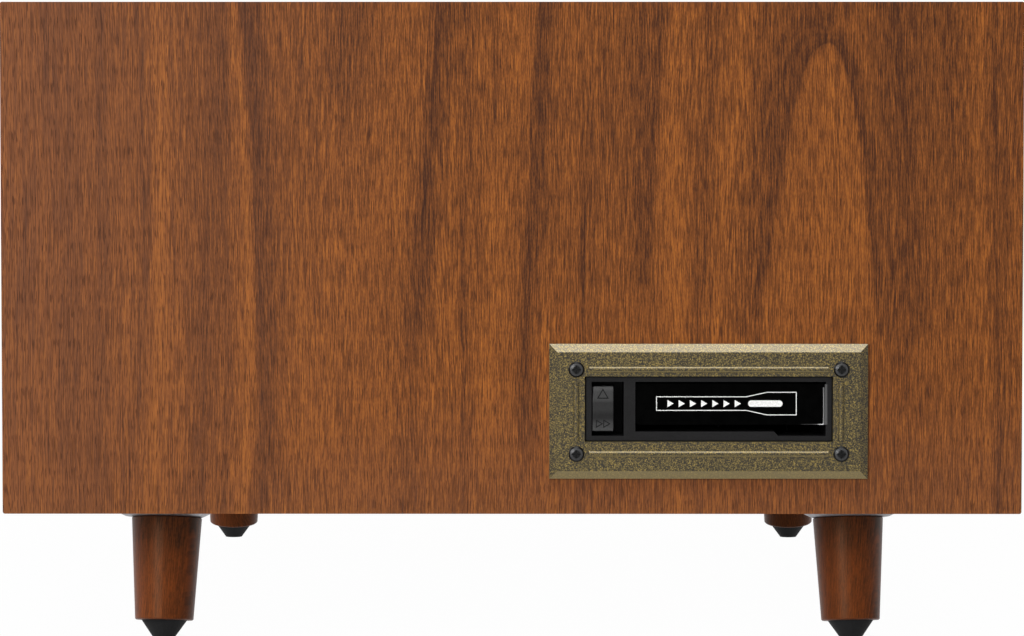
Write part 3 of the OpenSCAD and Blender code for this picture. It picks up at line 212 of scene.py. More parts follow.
def scaled_axes(place, scale):
    """The three coordinates of a place, each multiplied by a scale."""
    tree = place.id_data
    scaled = put(tree, "ShaderNodeVectorMath", {0: place, "Scale": scale}, operation="SCALE").outputs[0]
    return put(tree, "ShaderNodeSeparateXYZ", {0: scaled}).outputs


def plain_finish(name, roughness, specular):
    """A material without colour: the material, its shader and the object's coordinates in millimetres."""
    made, shader, coordinates = new_finish(name, {"Roughness": roughness, "Specular IOR Level": specular})
    return made, shader, scaled_axes(coordinates["Object"], 1 / MM)


def emboss(shader, height, strength, depth):
    """Raises the surface where the height is large, by a depth in millimetres."""
    feeds = {"Strength": strength, "Distance": depth * MM, "Height": height}
    link(put(shader.id_data, "ShaderNodeBump", feeds).outputs[0], shader.inputs["Normal"])


def dress(finish, *names):
    """Gives CAD nodes a finish."""
    for name in names:
        mesh = cad_nodes[name].data
        mesh.materials.clear()
        mesh.materials.append(finish)


print("Finish helpers are ready")

# %% [markdown]
# ## Studio
# The player stands on a plain white sweep. The floor is a pale sheet: seen by the camera it is mostly white,
# and the rest of it stays an ordinary surface, so that the object's shadow still falls on it. The world is
# white where the camera, metal and glass look at it, and a calm grey as light.

# %% Floor and world
FLOOR_SIZE = 14
FLOOR_WHITE = 0.985
FLOOR_SHEET = (0.55, 0.55, 0.55, 1)
AMBIENT = 0.06
WHITE = (1, 1, 1, 1)


def light_path_seen(tree):
    """1 where a camera, glossy or transmitted ray arrives, 0 for ordinary light."""
    path = put(tree, "ShaderNodeLightPath").outputs
    either = calc("MAXIMUM", path["Is Camera Ray"], path["Is Glossy Ray"])
    return calc("MAXIMUM", either, path["Is Transmission Ray"])


bpy.ops.mesh.primitive_plane_add(size=FLOOR_SIZE)
floor = bpy.context.object
floor.name = "studio_floor"
floor_paint = bpy.data.materials.new("studio_floor_paint")
floor_paint.use_nodes = True
floor_tree = floor_paint.node_tree
floor_tree.nodes.clear()
floor_sheet = put(floor_tree, "ShaderNodeBsdfDiffuse", {"Color": FLOOR_SHEET}).outputs[0]
floor_glow = put(floor_tree, "ShaderNodeEmission", {"Color": WHITE, "Strength": 1.0}).outputs[0]
floor_share = mul(light_path_seen(floor_tree), FLOOR_WHITE)
floor_feeds = {0: floor_share, 1: floor_sheet, 2: floor_glow}
floor_mix = put(floor_tree, "ShaderNodeMixShader", floor_feeds).outputs[0]
put(floor_tree, "ShaderNodeOutputMaterial", {"Surface": floor_mix})
floor.data.materials.append(floor_paint)

world = bpy.data.worlds.new("studio_world")
bpy.context.scene.world = world
world.use_nodes = True
world_tree = world.node_tree
world_tree.nodes.clear()
world_level = map_range(light_path_seen(world_tree), 0.0, 1.0, AMBIENT, 1.0)
world_light = put(world_tree, "ShaderNodeBackground", {"Color": WHITE, "Strength": world_level}).outputs[0]
put(world_tree, "ShaderNodeOutputWorld", {"Surface": world_light})
print("Floor", FLOOR_SIZE, "m wide, ambient light", AMBIENT)

# %% [markdown]
# ## Lamps
# Four large soft lamps: one overhead, which catches the upper bevel of the bronze plates, a tall key lamp to
# the left of the camera, whose reflection stands on the lacquered legs, and one each for the front and the
# back. They are large so that shadows stay soft, and weak so that a colour looks as it is mixed.

# %% Lamps
LAMPS = [
    # name, place, aim, width and height, power
    ("lamp_overhead", (0.75, 0.05, 1.7), (0.1, 0, 0.15), (1.0, 1.0), 28),
    ("lamp_beside_camera", (2.3, -1.1, 0.9), (0.2, 0, 0.12), (0.5, 1.4), 46),
    ("lamp_front", (0.3, -2.4, 1.2), (0, 0, 0.12), (1.2, 1.2), 30),
    ("lamp_behind", (-2.2, 1.4, 1.6), (0, 0, 0.12), (1.4, 1.4), 40),
]
for name, place, aim, size, power in LAMPS:
    turn = (Vector(aim) - Vector(place)).to_track_quat("-Z", "Y").to_euler()
    bpy.ops.object.light_add(type="AREA", location=place, rotation=turn)
    lamp = bpy.context.object
    lamp.name = name
    lamp.data.shape = "RECTANGLE"
    lamp.data.size, lamp.data.size_y = size
    lamp.data.energy = power
    lamp.visible_camera = False

# %% [markdown]
# ## Veneer, first part: the figure of the wood
# The cabinet wears flat-sliced walnut. Its figure has four sizes: wide bands, narrow streaks, fibres and
# tiny pores that are cut open as short dark dashes. One noise can't give all four, so each gets a noise of
# its own that is stretched along the grain. Bands and streaks follow the year rings, while fibres and pores
# run straight up the trunk. A slow noise bends them all together, which keeps the grain from looking ruled.

# %% Node groups for wood
NOISE_RANGE = (0.25, 0.75)
PORE_EDGE = (0.55, 0.63)


def stretched_noise(across, along, seed, width, length, detail=1.0):
    """A noise whose blots are about width wide and length long, both in millimetres."""
    tree = across.id_data
    spots = {"X": div(across, width), "Y": div(along, length), "Z": seed}
    place = put(tree, "ShaderNodeCombineXYZ", spots).outputs[0]
    return put(tree, "ShaderNodeTexNoise", {"Vector": place, "Scale": 1.0, "Detail": detail}).outputs["Fac"]


def around_zero(noise, reach):
    """Turns a noise from 0 to 1 into one from -reach to reach."""
    return map_range(noise, *NOISE_RANGE, -reach, reach)


GRAIN = [("Across", 0.0), ("Along", 0.0), ("Seed", 0.0)]
wander, wander_in, wander_out = new_group("Grain wander", GRAIN, ["Across"])
slow_bend = around_zero(stretched_noise(*wander_in[:3], 60, 150), 1.5)
quick_bend = around_zero(stretched_noise(*wander_in[:3], 11, 60), 0.35)
link(add(wander_in[0], slow_bend, quick_bend), wander_out[0])

streaks, streak_in, streak_out = new_group("Wood streaks", [*GRAIN, ("Ring", 0.0)], ["Shade", "Fibres"])
ring_in = (streak_in["Ring"], streak_in["Along"], streak_in["Seed"])
band = around_zero(stretched_noise(*ring_in, 9, 260, 2.0), 0.06)
streak = around_zero(stretched_noise(*ring_in, 2.2, 70, 2.0), 0.085)
thread = around_zero(stretched_noise(*streak_in[:3], 0.7, 24), 0.09)
fibre = stretched_noise(*streak_in[:3], 0.3, 8)
fleck = around_zero(stretched_noise(*streak_in[:3], 0.3, 1.1, 0.0), 0.09)
link(add(band, streak, thread, around_zero(fibre, 0.34), fleck), streak_out["Shade"])
link(fibre, streak_out["Fibres"])

pores, pore_in, pore_out = new_group("Wood pores", [*GRAIN, ("Width", 0.29), ("Length", 5.6)], ["Pores"])
link(smooth_step(stretched_noise(*pore_in[:5]), *PORE_EDGE), pore_out["Pores"])
print("Wood groups:", wander.name, streaks.name, pores.name)

# %% [markdown]
# ## Veneer, second part: stain
# Shade is one number from light to dark. A colour ramp turns it into the warm browns of oiled walnut, and
# the pores are rubbed in darker on top. Keeping the stain apart from the figure lets every panel share it.

# %% Wood stain
WALNUT_STAIN = [
    (0.0, paint(161, 96, 39)), (0.3, paint(133, 77, 34)), (0.55, paint(106, 61, 29)),
    (0.8, paint(77, 44, 25)), (1.0, paint(52, 30, 19)),
]
# a muted brown: faded walnut at the left edge, and painted floor light at the foot of the cassette side
FADED_AND_BOUNCE_WALNUT = paint(108, 70, 50)
PORE_BROWN = paint(52, 27, 17)
PORE_SHARE = 0.62
VENEER_GLOSS = (0.5, 0.07)
END_FACING, EDGE_SHARE = 0.7, 0.8
stain, stain_in, stain_out = new_group(
    "Walnut stain", [("Shade", 0.5), ("Pores", 0.0), ("Muted", 0.0)], ["Color"])
stained = colour_ramp(stain_in["Shade"], WALNUT_STAIN)
muted_colour = blend_colours(stain_in["Muted"], stained, FADED_AND_BOUNCE_WALNUT)
link(blend_colours(mul(stain_in["Pores"], PORE_SHARE), muted_colour, PORE_BROWN), stain_out["Color"])


def wood_relief(shader, fibres, pore_mask, depth):
    """Fibres stand up a little and pores are sunk."""
    emboss(shader, sub(mul(fibres, 0.4), pore_mask), depth, 0.1)


def stain_veneer(shader, figure, shade, pore_mask, muted):
    """Gives a veneer its colour and relief."""
    colour = use_group(stain, {"Shade": shade, "Pores": pore_mask, "Muted": muted})["Color"]
    link(colour, shader.inputs["Base Color"])
    wood_relief(shader, figure["Fibres"], pore_mask, 0.25)


def banded(axes, across_axis, along_axis):
    """Places across and along the grain. It runs on over long edges, and end faces have their own."""
    third_axis = next(axis for axis in "XYZ" if axis not in (across_axis, along_axis))
    tree = axes["X"].id_data
    normal = put(tree, "ShaderNodeTexCoord").outputs["Normal"]
    facing = put(tree, "ShaderNodeSeparateXYZ", {0: normal}).outputs[along_axis]
    is_end = calc("GREATER_THAN", calc("ABSOLUTE", facing), END_FACING)
    over_edge = calc("MULTIPLY_ADD", axes[third_axis], EDGE_SHARE, axes[across_axis])
    across = choose(is_end, over_edge, axes[third_axis])
    return across, choose(is_end, axes[along_axis], axes[across_axis])


print("Stain has", len(WALNUT_STAIN), "browns")

# %% [markdown]
# ## Veneer, third part: the cassette side
# This panel is the one in the picture, so its grain lines are drawn one by one. A grain line is a soft dark
# or light stripe with its own lean and bow, sharp on one side where a year ring ends. On the right stands a
# cathedral, the arch that flat slicing leaves: its two limbs spread with the square root of the distance
# from a blunt tip.

# %% Grain line and cathedral groups
PANEL_MIDDLE = 89.0
FADE = 26.0
LINE_VALUES = ("Middle", "Lean", "Bow", "Left", "Right", "Depth", "Low", "High")
WHOLE_LINE = {"Low": -60.0, "High": 400.0}
grain_line, line_in, line_out = new_group(
    "Grain line", [(name, WHOLE_LINE.get(name, 0.0)) for name in ("Across", "Along", *LINE_VALUES)],
    ["Shade"])
height = div(sub(line_in["Along"], PANEL_MIDDLE), PANEL_MIDDLE)
leaning = mul(line_in["Lean"], height)
bowed = mul(line_in["Bow"], sub(1.0, mul(height, height)))
off = sub(line_in["Across"], add(line_in["Middle"], leaning, bowed))
reach = choose(calc("GREATER_THAN", off, 0.0), line_in["Left"], line_in["Right"])
above = smooth_step(line_in["Along"], line_in["Low"], add(line_in["Low"], FADE))
below = smooth_step(line_in["Along"], line_in["High"], sub(line_in["High"], FADE))
link(mul(bell(div(off, reach)), line_in["Depth"], above, below), line_out["Shade"])

TIP_ROUND = 16.0
TIP_SWELL, TIP_REACH = 0.9, 20.0
cathedral, arch_in, arch_out = new_group(
    "Cathedral", [(name, 0.0) for name in ("Across", "Along", "Middle", "Tip", "Left", "Right")],
    ["Ring", "Distance", "Side"])
arch_off = sub(arch_in["Across"], arch_in["Middle"])
arch_side = calc("GREATER_THAN", arch_off, 0.0)
arch_spread = choose(arch_side, arch_in["Left"], arch_in["Right"])
arch_width = div(calc("ABSOLUTE", arch_off), arch_spread)
arch_fall = sub(arch_in["Tip"], arch_in["Along"])
arch_round = calc("SQRT", calc("MULTIPLY_ADD", arch_fall, arch_fall, TIP_ROUND ** 2))
arch_drop = mul(add(arch_fall, arch_round), 0.5)
link(sub(arch_width, calc("SQRT", arch_drop)), arch_out["Ring"])
tip_near = calc("EXPONENT", div(calc("ABSOLUTE", arch_fall), -TIP_REACH))
blunt_fall = mul(arch_fall, calc("MULTIPLY_ADD", tip_near, TIP_SWELL, 1.0))
arch_beyond = sub(mul(arch_width, arch_width), blunt_fall)
arch_slope = div(mul(arch_width, 2.0), arch_spread)
arch_steep = calc("SQRT", calc("MULTIPLY_ADD", arch_slope, arch_slope, 1.0))
link(div(arch_beyond, arch_steep), arch_out["Distance"])
link(arch_side, arch_out["Side"])
print("Groups:", grain_line.name, cathedral.name)

# %% [markdown]
# The grain lines below are given in millimetres from the middle of the panel. A positive depth
# darkens and a negative one is a lighter stripe.

# %% Veneer of the cassette side
CASSETTE_SIDE_LINES = [
    # middle, lean, bow, left, right, depth, then low and high where a line ends on the panel
    (-156, -3.0, 0.0, 8.0, 8.0, 0.16),
    (-144.6, 0.6, 0.0, 1.0, 2.6, 0.17),
    (-133, 3.1, 3.9, 1.6, 2.2, 0.20),
    (-124.6, 2.0, 1.5, 3.0, 3.0, -0.14),
    (-106, 3.0, 0.0, 5.5, 4.6, 0.17),
    (-99.5, 0.5, 0.0, 1.2, 1.5, 0.13),
    (-94.8, -1.2, 3.3, 2.2, 2.2, -0.16),
    (-91.8, -1.4, 3.4, 1.1, 8.0, 0.28, -15),
    (-70, 0.0, 0.0, 12.0, 12.0, -0.02, -60, 130),
    (-57, 0.0, 0.0, 7.0, 7.0, 0.17, 130),
    (-39, 0.0, 0.0, 9.0, 6.0, -0.07, 80),
    (-47, 0.0, 0.0, 4.0, 4.0, 0.07, 90),
    (-31.4, 7.2, -0.5, 2.6, 4.6, 0.26, 45),
    (-31.4, 7.2, -0.5, 2.6, 4.6, 0.10, -60, 70),
    (-17.2, 1.0, 0.0, 1.0, 1.6, 0.13),
    (-13, 1.0, 0.0, 4.0, 4.0, 0.08, 60),
    (0.5, 0.0, 0.0, 5.0, 5.0, -0.16, 128),
    (-6, 2.0, 0.0, 5.0, 5.0, -0.06, -60, 140),
    (-7.5, 2.0, 0.0, 0.8, 2.2, 0.12, 118),
    (6.6, 4.0, -1.6, 1.5, 4.6, 0.24, 10),
    (21, 3.0, 0.0, 7.0, 7.0, 0.08, 60, 165),
    (18, 0.0, 0.0, 3.0, 3.0, -0.05, 150),
    (24.5, 1.4, 0.0, 1.2, 2.4, 0.14, -60, 150),
    (36, 0.0, 0.0, 4.0, 4.0, 0.06, 100),
    (47.7, 4.0, 0.0, 8.0, 1.5, 0.20, 60),
    (58, 0.5, 0.0, 4.0, 4.0, -0.14),
    (64.8, 0.0, 0.0, 0.8, 1.0, 0.13, -60, 160),
    (76, 4.0, 0.0, 5.0, 4.0, -0.11, 40),
    (110, 0.0, 0.0, 7.0, 7.0, 0.10, 150),
    (138, -2.0, 0.0, 7.0, 7.0, 0.19, 50),
    (163, -2.0, 0.0, 4.0, 3.0, -0.06),
    (153, 0.0, 0.0, 6.0, 5.0, 0.07, 90),
    (168.3, -1.7, 0.0, 0.8, 1.1, 0.16),
    (-170.5, 9.0, 0.0, 1.2, 3.0, 0.15, 55, 130),
]
BASE_SHADE = 0.446
# painted shade: the panel gets darker towards the top and the rear, as the studio light falls off over it
SHADE_GRADIENT_UP, SHADE_GRADIENT_BACK = 0.055, 0.05
CATHEDRAL_MIDDLE, CATHEDRAL_TIP = 109.5, 164.0
CATHEDRAL_LEFT, CATHEDRAL_RIGHT = 2.475, 1.83
LIMB_LEFT, LIMB_RIGHT, LIMB_INSIDE = 8.0, 2.4, 0.8
LIMB_DEPTH, LIMB_FADE = 0.25, (30.0, 90.0)
HEART_DEPTH, HEART_REACH = -0.09, -4.0
HEART_TOP = (CATHEDRAL_TIP + 4, CATHEDRAL_TIP - 8)
ARCH_NEAR, ARCH_FAR = 22.0, 60.0
COARSE_EDGE = (-170.0, -60.0, 0.5, 1.0)
FADED_EDGE = (-177.0, -20.0, 0.5, 0.0)
# painted floor light: the foot of the panel is mixed towards a paler, greyer brown
BOUNCE_HEIGHT, BOUNCE_SHARE = 55.0, 0.32
SEED_DRIFT = 0.02
LONG_PORES = {"Seed": 9.0, "Width": 0.55, "Length": 15.0}
LONG_PORE_SHARE = 0.6

side_veneer, shader, axes = plain_finish("veneer_cassette_side", *VENEER_GLOSS)
panel_low, panel_high = box_mm("right_side_panel")
side_axes = {"X": sub(axes["X"], panel_high.x), "Y": axes["Y"], "Z": sub(axes["Z"], panel_low.z)}
across, along = banded(side_axes, "Y", "Z")
bent = use_group(wander, {"Across": across, "Along": along, "Seed": 3.0})["Across"]
grain = {"Across": bent, "Along": along}
shades = [use_group(grain_line, {**grain, **dict(zip(LINE_VALUES, map(float, line)))})["Shade"]
          for line in CASSETTE_SIDE_LINES]

arch = use_group(cathedral, {
    **grain, "Middle": CATHEDRAL_MIDDLE, "Tip": CATHEDRAL_TIP,
    "Left": CATHEDRAL_LEFT, "Right": CATHEDRAL_RIGHT})
ring_mm = arch["Distance"]
outside = calc("GREATER_THAN", ring_mm, 0.0)
limb_reach = calc("MULTIPLY_ADD", outside, choose(arch["Side"], LIMB_LEFT, LIMB_RIGHT), LIMB_INSIDE)
limb_fade = smooth_step(along, *LIMB_FADE)
shades.append(mul(bell(div(ring_mm, limb_reach)), limb_fade, LIMB_DEPTH))
under_tip = smooth_step(along, *HEART_TOP)
shades.append(mul(smooth_step(ring_mm, 0.0, HEART_REACH), under_tip, limb_fade, HEART_DEPTH))

from_arch = calc("ABSOLUTE", sub(bent, CATHEDRAL_MIDDLE))
around_arch = choose(smooth_step(from_arch, ARCH_NEAR, ARCH_FAR), ring_mm, from_arch)
ring_across = choose(outside, bent, around_arch)
stretched = mul(along, map_range(across, *COARSE_EDGE))
figure = use_group(streaks, {
    "Across": bent, "Along": stretched, "Seed": mul(bent, SEED_DRIFT), "Ring": ring_across})
short_pores = use_group(pores, {**grain, "Seed": 5.0})["Pores"]
long_pores = use_group(pores, {**grain, **LONG_PORES})["Pores"]
pore_mask = calc("MAXIMUM", short_pores, mul(long_pores, LONG_PORE_SHARE))
# painted shade gradient: lighter towards the bottom and the front of the panel
rise = mul(sub(along, PANEL_MIDDLE), SHADE_GRADIENT_UP / PANEL_MIDDLE)
run = mul(across, SHADE_GRADIENT_BACK / panel_high.y)
shade = add(figure["Shade"], *shades, rise, run, BASE_SHADE)
faded_left = map_range(across, *FADED_EDGE)
# painted floor light at the foot of the panel, standing in for light thrown up from the floor
painted_floor_bounce = mul(smooth_step(along, BOUNCE_HEIGHT, 0.0), BOUNCE_SHARE)
stain_veneer(shader, figure, shade, pore_mask, calc("MAXIMUM", faded_left, painted_floor_bounce))
dress(side_veneer, "right_side_panel")
print("Cassette side:", len(CASSETTE_SIDE_LINES), "grain lines and one cathedral")

# %% [markdown]
# The other panels are cut from the same flitch. They use the same groups with other seeds and directions:
# upright on the left side, from side to side on the lid and the front.

# %% Veneer of the other panels
WIDE_ARCH = {"Middle": 30.0, "Tip": 420.0, "Left": 3.2, "Right": 2.6}
RING_SPACING, RING_DEPTH = 2.6, 0.24
PLAIN_FADE = 0.1


def plain_veneer(name, across_axis, along_axis, seed, base_shade=0.45):
    """Veneer with its grain along one axis, without drawn lines."""
    made, shader, axes = plain_finish(name, *VENEER_GLOSS)
    across, along = banded(axes, across_axis, along_axis)
    bent = use_group(wander, {"Across": across, "Along": along, "Seed": seed})["Across"]
    grain = {"Across": bent, "Along": along}
    arch = use_group(cathedral, {**grain, **WIDE_ARCH})
    ring = mul(arch["Ring"], RING_SPACING)
    figure = use_group(streaks, {**grain, "Seed": seed + 1, "Ring": ring})
    pore_mask = use_group(pores, {**grain, "Seed": seed + 2})["Pores"]
    year_rings = around_zero(stretched_noise(ring, along, seed + 3, 11, 900, 2.0), RING_DEPTH)
    stain_veneer(shader, figure, add(figure["Shade"], year_rings, base_shade), pore_mask, PLAIN_FADE)
    return made


dress(plain_veneer("veneer_left_side", "Y", "Z", 21.0), "left_side_panel")
dress(plain_veneer("veneer_lid", "Y", "X", 33.0), "lid_panel")
dress(plain_veneer("veneer_front", "Z", "X", 47.0, 0.5), "front_baffle")
dress(plain_veneer("carcass_wood", "Y", "X", 58.0, 0.62), "bottom_panel", "deck_rails")
print("Veneer on five more pieces")

# %% [markdown]
# ## Legs
# The legs are turned from a darker wood with a brown stain and a satin lacquer. The grain runs down the leg,
# and painted shade darkens the neck under the cabinet, where the cabinet's shadow falls. The reflection in
# the lacquer is tinted warm, so the soft upright highlight doesn't wash out the colour under it.

# %% Leg wood
LEG_LIGHT, LEG_DARK, LEG_PORE = paint(118, 58, 22), paint(44, 20, 8), paint(40, 19, 11)
LEG_REFLECTION = paint(255, 205, 165)
# painted shade at the neck of each leg, under the cabinet
LEG_NECK, NECK_PAINTED_SHADE = (26.0, 46.0), 0.4
LEG_PORE_SHARE = 0.35
leg_wood, shader, axes = plain_finish("leg_wood_lacquered", 0.4, 0.23)
shader.inputs["Specular Tint"].default_value = LEG_REFLECTION
leg_across = calc("MULTIPLY_ADD", axes["X"], 0.7, axes["Y"])
leg_grain = {"Across": leg_across, "Along": axes["Z"], "Seed": 71.0}
leg_figure = use_group(streaks, {**leg_grain, "Ring": leg_across})
leg_pores = use_group(pores, {**leg_grain, "Width": 0.5, "Length": 3.0})["Pores"]
# painted shade: the leg's colour is darkened towards its top, where the cabinet shades it
painted_neck_shade = mul(smooth_step(axes["Z"], *LEG_NECK), NECK_PAINTED_SHADE)
leg_tone = add(calc("MULTIPLY_ADD", leg_figure["Shade"], 1.1, 0.4), painted_neck_shade)
leg_stain = blend_colours(leg_tone, LEG_LIGHT, LEG_DARK)
link(blend_colours(mul(leg_pores, LEG_PORE_SHARE), leg_stain, LEG_PORE), shader.inputs["Base Color"])
wood_relief(shader, leg_figure["Fibres"], leg_pores, 0.15)
dress(leg_wood, "leg_front_left", "leg_front_right", "leg_rear_left", "leg_rear_right")
print("Four legs dressed")

# %% [markdown]
# ## One group for mottled finishes
# Cast bronze paint, moulded plastic, rubber and rolled metal all share one thing: at close range they are
# never one flat colour. This group gives a fine speckle and a slow cloud, and each material uses them at its
# own size.

# %% Mottle group and the two kinds of finish that use it
CLOUD_SHARE, SPECKLE_SHARE = 0.5, 0.55
GRADED_GRAIN, GRADED_SHARE = 0.4, 0.15
mottle, mottle_in, mottle_out = new_group(
    "Surface mottle", [("Place", None), ("Grain", 0.5)], ["Speckle", "Cloud"])


def plain_noise(place, scale, detail):
    """A noise at a place."""
    feeds = {"Vector": place, "Scale": scale, "Detail": detail}
    return put(place.id_data, "ShaderNodeTexNoise", feeds).outputs["Fac"]


fine_scale = div(1.0 / MM, mottle_in["Grain"])
link(smooth_step(plain_noise(mottle_in["Place"], fine_scale, 2.0), 0.34, 0.66), mottle_out["Speckle"])
link(plain_noise(mottle_in["Place"], mul(fine_scale, 0.03), 2.0), mottle_out["Cloud"])


def mottled(name, dark, light, grain, roughness, metallic=0.0, specular=0.5, relief=0.1, stretch=(1, 1, 1)):
    """A finish that goes from a dark to a light tone in speckles of grain millimetres."""
    made, shader, coordinates = new_finish(name, {"Metallic": metallic, "Specular IOR Level": specular})
    mapping = {"Vector": coordinates["Object"], "Scale": stretch}
    place = put(shader.id_data, "ShaderNodeMapping", mapping).outputs[0]
    made_of = use_group(mottle, {"Place": place, "Grain": grain})
    tone = calc("MULTIPLY_ADD", made_of["Cloud"], CLOUD_SHARE, mul(made_of["Speckle"], SPECKLE_SHARE))
    link(blend_colours(tone, paint(*dark), paint(*light)), shader.inputs["Base Color"])
    link(map_range(made_of["Cloud"], 0.3, 0.7, *roughness), shader.inputs["Roughness"])
    emboss(shader, made_of["Speckle"], relief, grain * 0.5)
    return made


def graded(name, axis, stops, roughness, specular):
    """A finish whose tone follows one axis, with stops given as (millimetres, grey), and a fine speckle."""
    made, shader, axes = plain_finish(name, roughness, specular)
    first, last = stops[0][0], stops[-1][0]
    grey_stops = [((spot - first) / (last - first), paint(grey, grey, grey)) for spot, grey in stops]
    place = put(shader.id_data, "ShaderNodeTexCoord").outputs["Object"]
    speckle = use_group(mottle, {"Place": place, "Grain": GRADED_GRAIN})["Speckle"]
    greys = colour_ramp(map_range(axes[axis], first, last), grey_stops)
    link(blend_colours(mul(speckle, GRADED_SHARE), greys, paint(2, 2, 2)), shader.inputs["Base Color"])
    emboss(shader, speckle, 0.05, 0.1)
    return made


print("Mottle group is ready")

# %% [markdown]
# ## Cast bronze
# The bezel, the grille frames and the front plate are painted bronze with a sandy cast surface. Each grain
# of sand is a cell with a tone of its own. The bevels that face up and down get painted light: a lighter
# tone stands in for the overhead lamp on the upper bevel and for light from the floor on the lower one.

# %% Cast bronze
BRONZE_GRAIN, BRONZE_CONTRAST, SAND_SHARE = 0.34, 2.4, 0.62
# painted light on the bevels that face up and down
LIT_TILT_FROM, LIT_TILT_TO = 0.4, 0.56
TOP_LIGHT_SHARE, FLOOR_LIGHT_SHARE = 0.15, 0.42
BRONZE_DARK, BRONZE_LIGHT, BRONZE_PAINTED_LIGHT = paint(17, 14, 6), paint(138, 117, 54), paint(166, 148, 98)
bronze, shader, coordinates = new_finish(
    "bronze_antique", {"Metallic": 0.55, "Coat Weight": 0.35, "Coat Roughness": 0.16})
place, tree = coordinates["Object"], shader.id_data
tilt = put(tree, "ShaderNodeSeparateXYZ", {0: coordinates["Normal"]}).outputs["Z"]
# painted light: the upper bevel is lightened for the overhead lamp, the lower one for light off the floor
painted_top_light = mul(smooth_step(tilt, LIT_TILT_FROM, LIT_TILT_TO), TOP_LIGHT_SHARE)
painted_floor_light = mul(smooth_step(tilt, -LIT_TILT_FROM, -LIT_TILT_TO), FLOOR_LIGHT_SHARE)
cell_feeds = {"Vector": place, "Scale": 1 / (BRONZE_GRAIN * MM)}
cells = put(tree, "ShaderNodeTexVoronoi", cell_feeds).outputs["Color"]
grain_tone = put(tree, "ShaderNodeSeparateColor", {0: cells}).outputs[0]
speckle = use_group(mottle, {"Place": place, "Grain": BRONZE_GRAIN * 1.3})["Speckle"]
tone = calc("MULTIPLY_ADD", grain_tone, SAND_SHARE, mul(speckle, 1 - SAND_SHARE))
speckled = blend_colours(calc("POWER", tone, BRONZE_CONTRAST), BRONZE_DARK, BRONZE_LIGHT)
link(blend_colours(add(painted_top_light, painted_floor_light), speckled, BRONZE_PAINTED_LIGHT), shader.inputs["Base Color"])
link(map_range(grain_tone, 0.0, 1.0, 0.34, 0.5), shader.inputs["Roughness"])
emboss(shader, tone, 0.35, BRONZE_GRAIN * 0.4)
print("Bronze with grains of", BRONZE_GRAIN, "mm")

# %% [markdown]
# The other finishes need only a row of numbers each. The CAD record says which slot a piece belongs to.

# %% Mottled finishes
MOTTLED = {
    # slot: name, dark, light, grain, roughness, metallic, specular, relief, stretch
    "black_screw": ("screw_black_oxide", (3, 3, 3), (8, 8, 9), 0.6, (0.1, 0.16), 0.0, 0.13, 0.03),
    "housing_plastic": ("plastic_dark_grey", (14, 14, 14), (27, 26, 27), 0.4, (0.4, 0.5), 0.0, 0.12, 0.1),
    "flap_gloss": ("plastic_piano_black", (1, 1, 1), (4, 4, 4), 3.0, (0.06, 0.1), 0.0, 0.008, 0.0),
    "rubber": ("rubber_black", (13, 13, 14), (27, 27, 28), 0.5, (0.7, 0.85), 0.0, 0.2, 0.2),
    "leg_plate_metal": ("zinc_plate", (118, 118, 121), (164, 164, 168), 1.6, (0.4, 0.55), 0.9, 0.5, 0.05),
    "steel": ("steel_rolled", (150, 151, 153), (188, 189, 191), 0.5, (0.3, 0.42), 1.0, 0.5, 0.05,
              (1, 0.08, 1)),
    "aluminium": ("aluminium_satin", (186, 187, 189), (214, 215, 217), 0.4, (0.28, 0.36), 1.0, 0.5, 0.04,
                  (1, 1, 0.1)),
    "brass": ("brass_turned", (172, 138, 72), (205, 172, 98), 0.4, (0.26, 0.36), 1.0, 0.5, 0.04),
    "hinge_brass": ("brass_hinge", (150, 121, 66), (190, 158, 92), 0.7, (0.34, 0.46), 1.0, 0.5, 0.06),
    "deck_black": ("deck_satin_black", (16, 16, 17), (29, 29, 30), 0.35, (0.45, 0.55), 0.0, 0.35, 0.2),
    "back_board": ("hardboard_black", (18, 17, 16), (38, 36, 33), 1.2, (0.75, 0.9), 0.0, 0.2, 0.25),
    "reel_plastic": ("plastic_black_matte", (14, 14, 15), (26, 26, 27), 0.4, (0.5, 0.6), 0.0, 0.3, 0.1),
    "speaker_paper": ("speaker_pulp", (24, 23, 22), (44, 42, 39), 0.8, (0.8, 0.95), 0.0, 0.2, 0.3),
    "knob_plastic": ("knob_bakelite", (12, 11, 11), (30, 26, 24), 1.2, (0.24, 0.32), 0.0, 0.4, 0.03),
    "board": ("circuit_board", (18, 66, 36), (34, 98, 56), 1.5, (0.45, 0.6), 0.0, 0.4, 0.05),
}
finishes = {"bronze": bronze, **{slot: mottled(*row) for slot, row in MOTTLED.items()}}
for part in frame["record"]["subparts"]:
    if part["material_slot"] in finishes:
        dress(finishes[part["material_slot"]], part["node"])
blackened = mottled("steel_blackened", (6, 6, 6), (14, 14, 15), 0.6, (0.4, 0.5), 0.0, 0.1, 0.05)
dress(blackened, "cassette_carriage", "tape_chassis", "capstan_flywheel", "tape_head")
print("Finishes:", len(finishes) + 1)

# %% [markdown]
# Two small pieces get painted light and shade along one axis: the button has a painted reflection where its
# cap slopes and at its foot, with painted shade between, and the screws have a painted highlight on a ring
# just under the crown, with painted shade deeper down in the cross recess.

# %% Graded finishes
# painted reflection and shade on the button, by height
BUTTON_PAINTED_TONES = [(78.6, 66), (81.0, 58), (82.8, 32), (84.0, 30), (86.0, 44),
                (88.2, 42), (89.4, 58), (92.0, 60), (93.6, 82), (94.2, 72)]
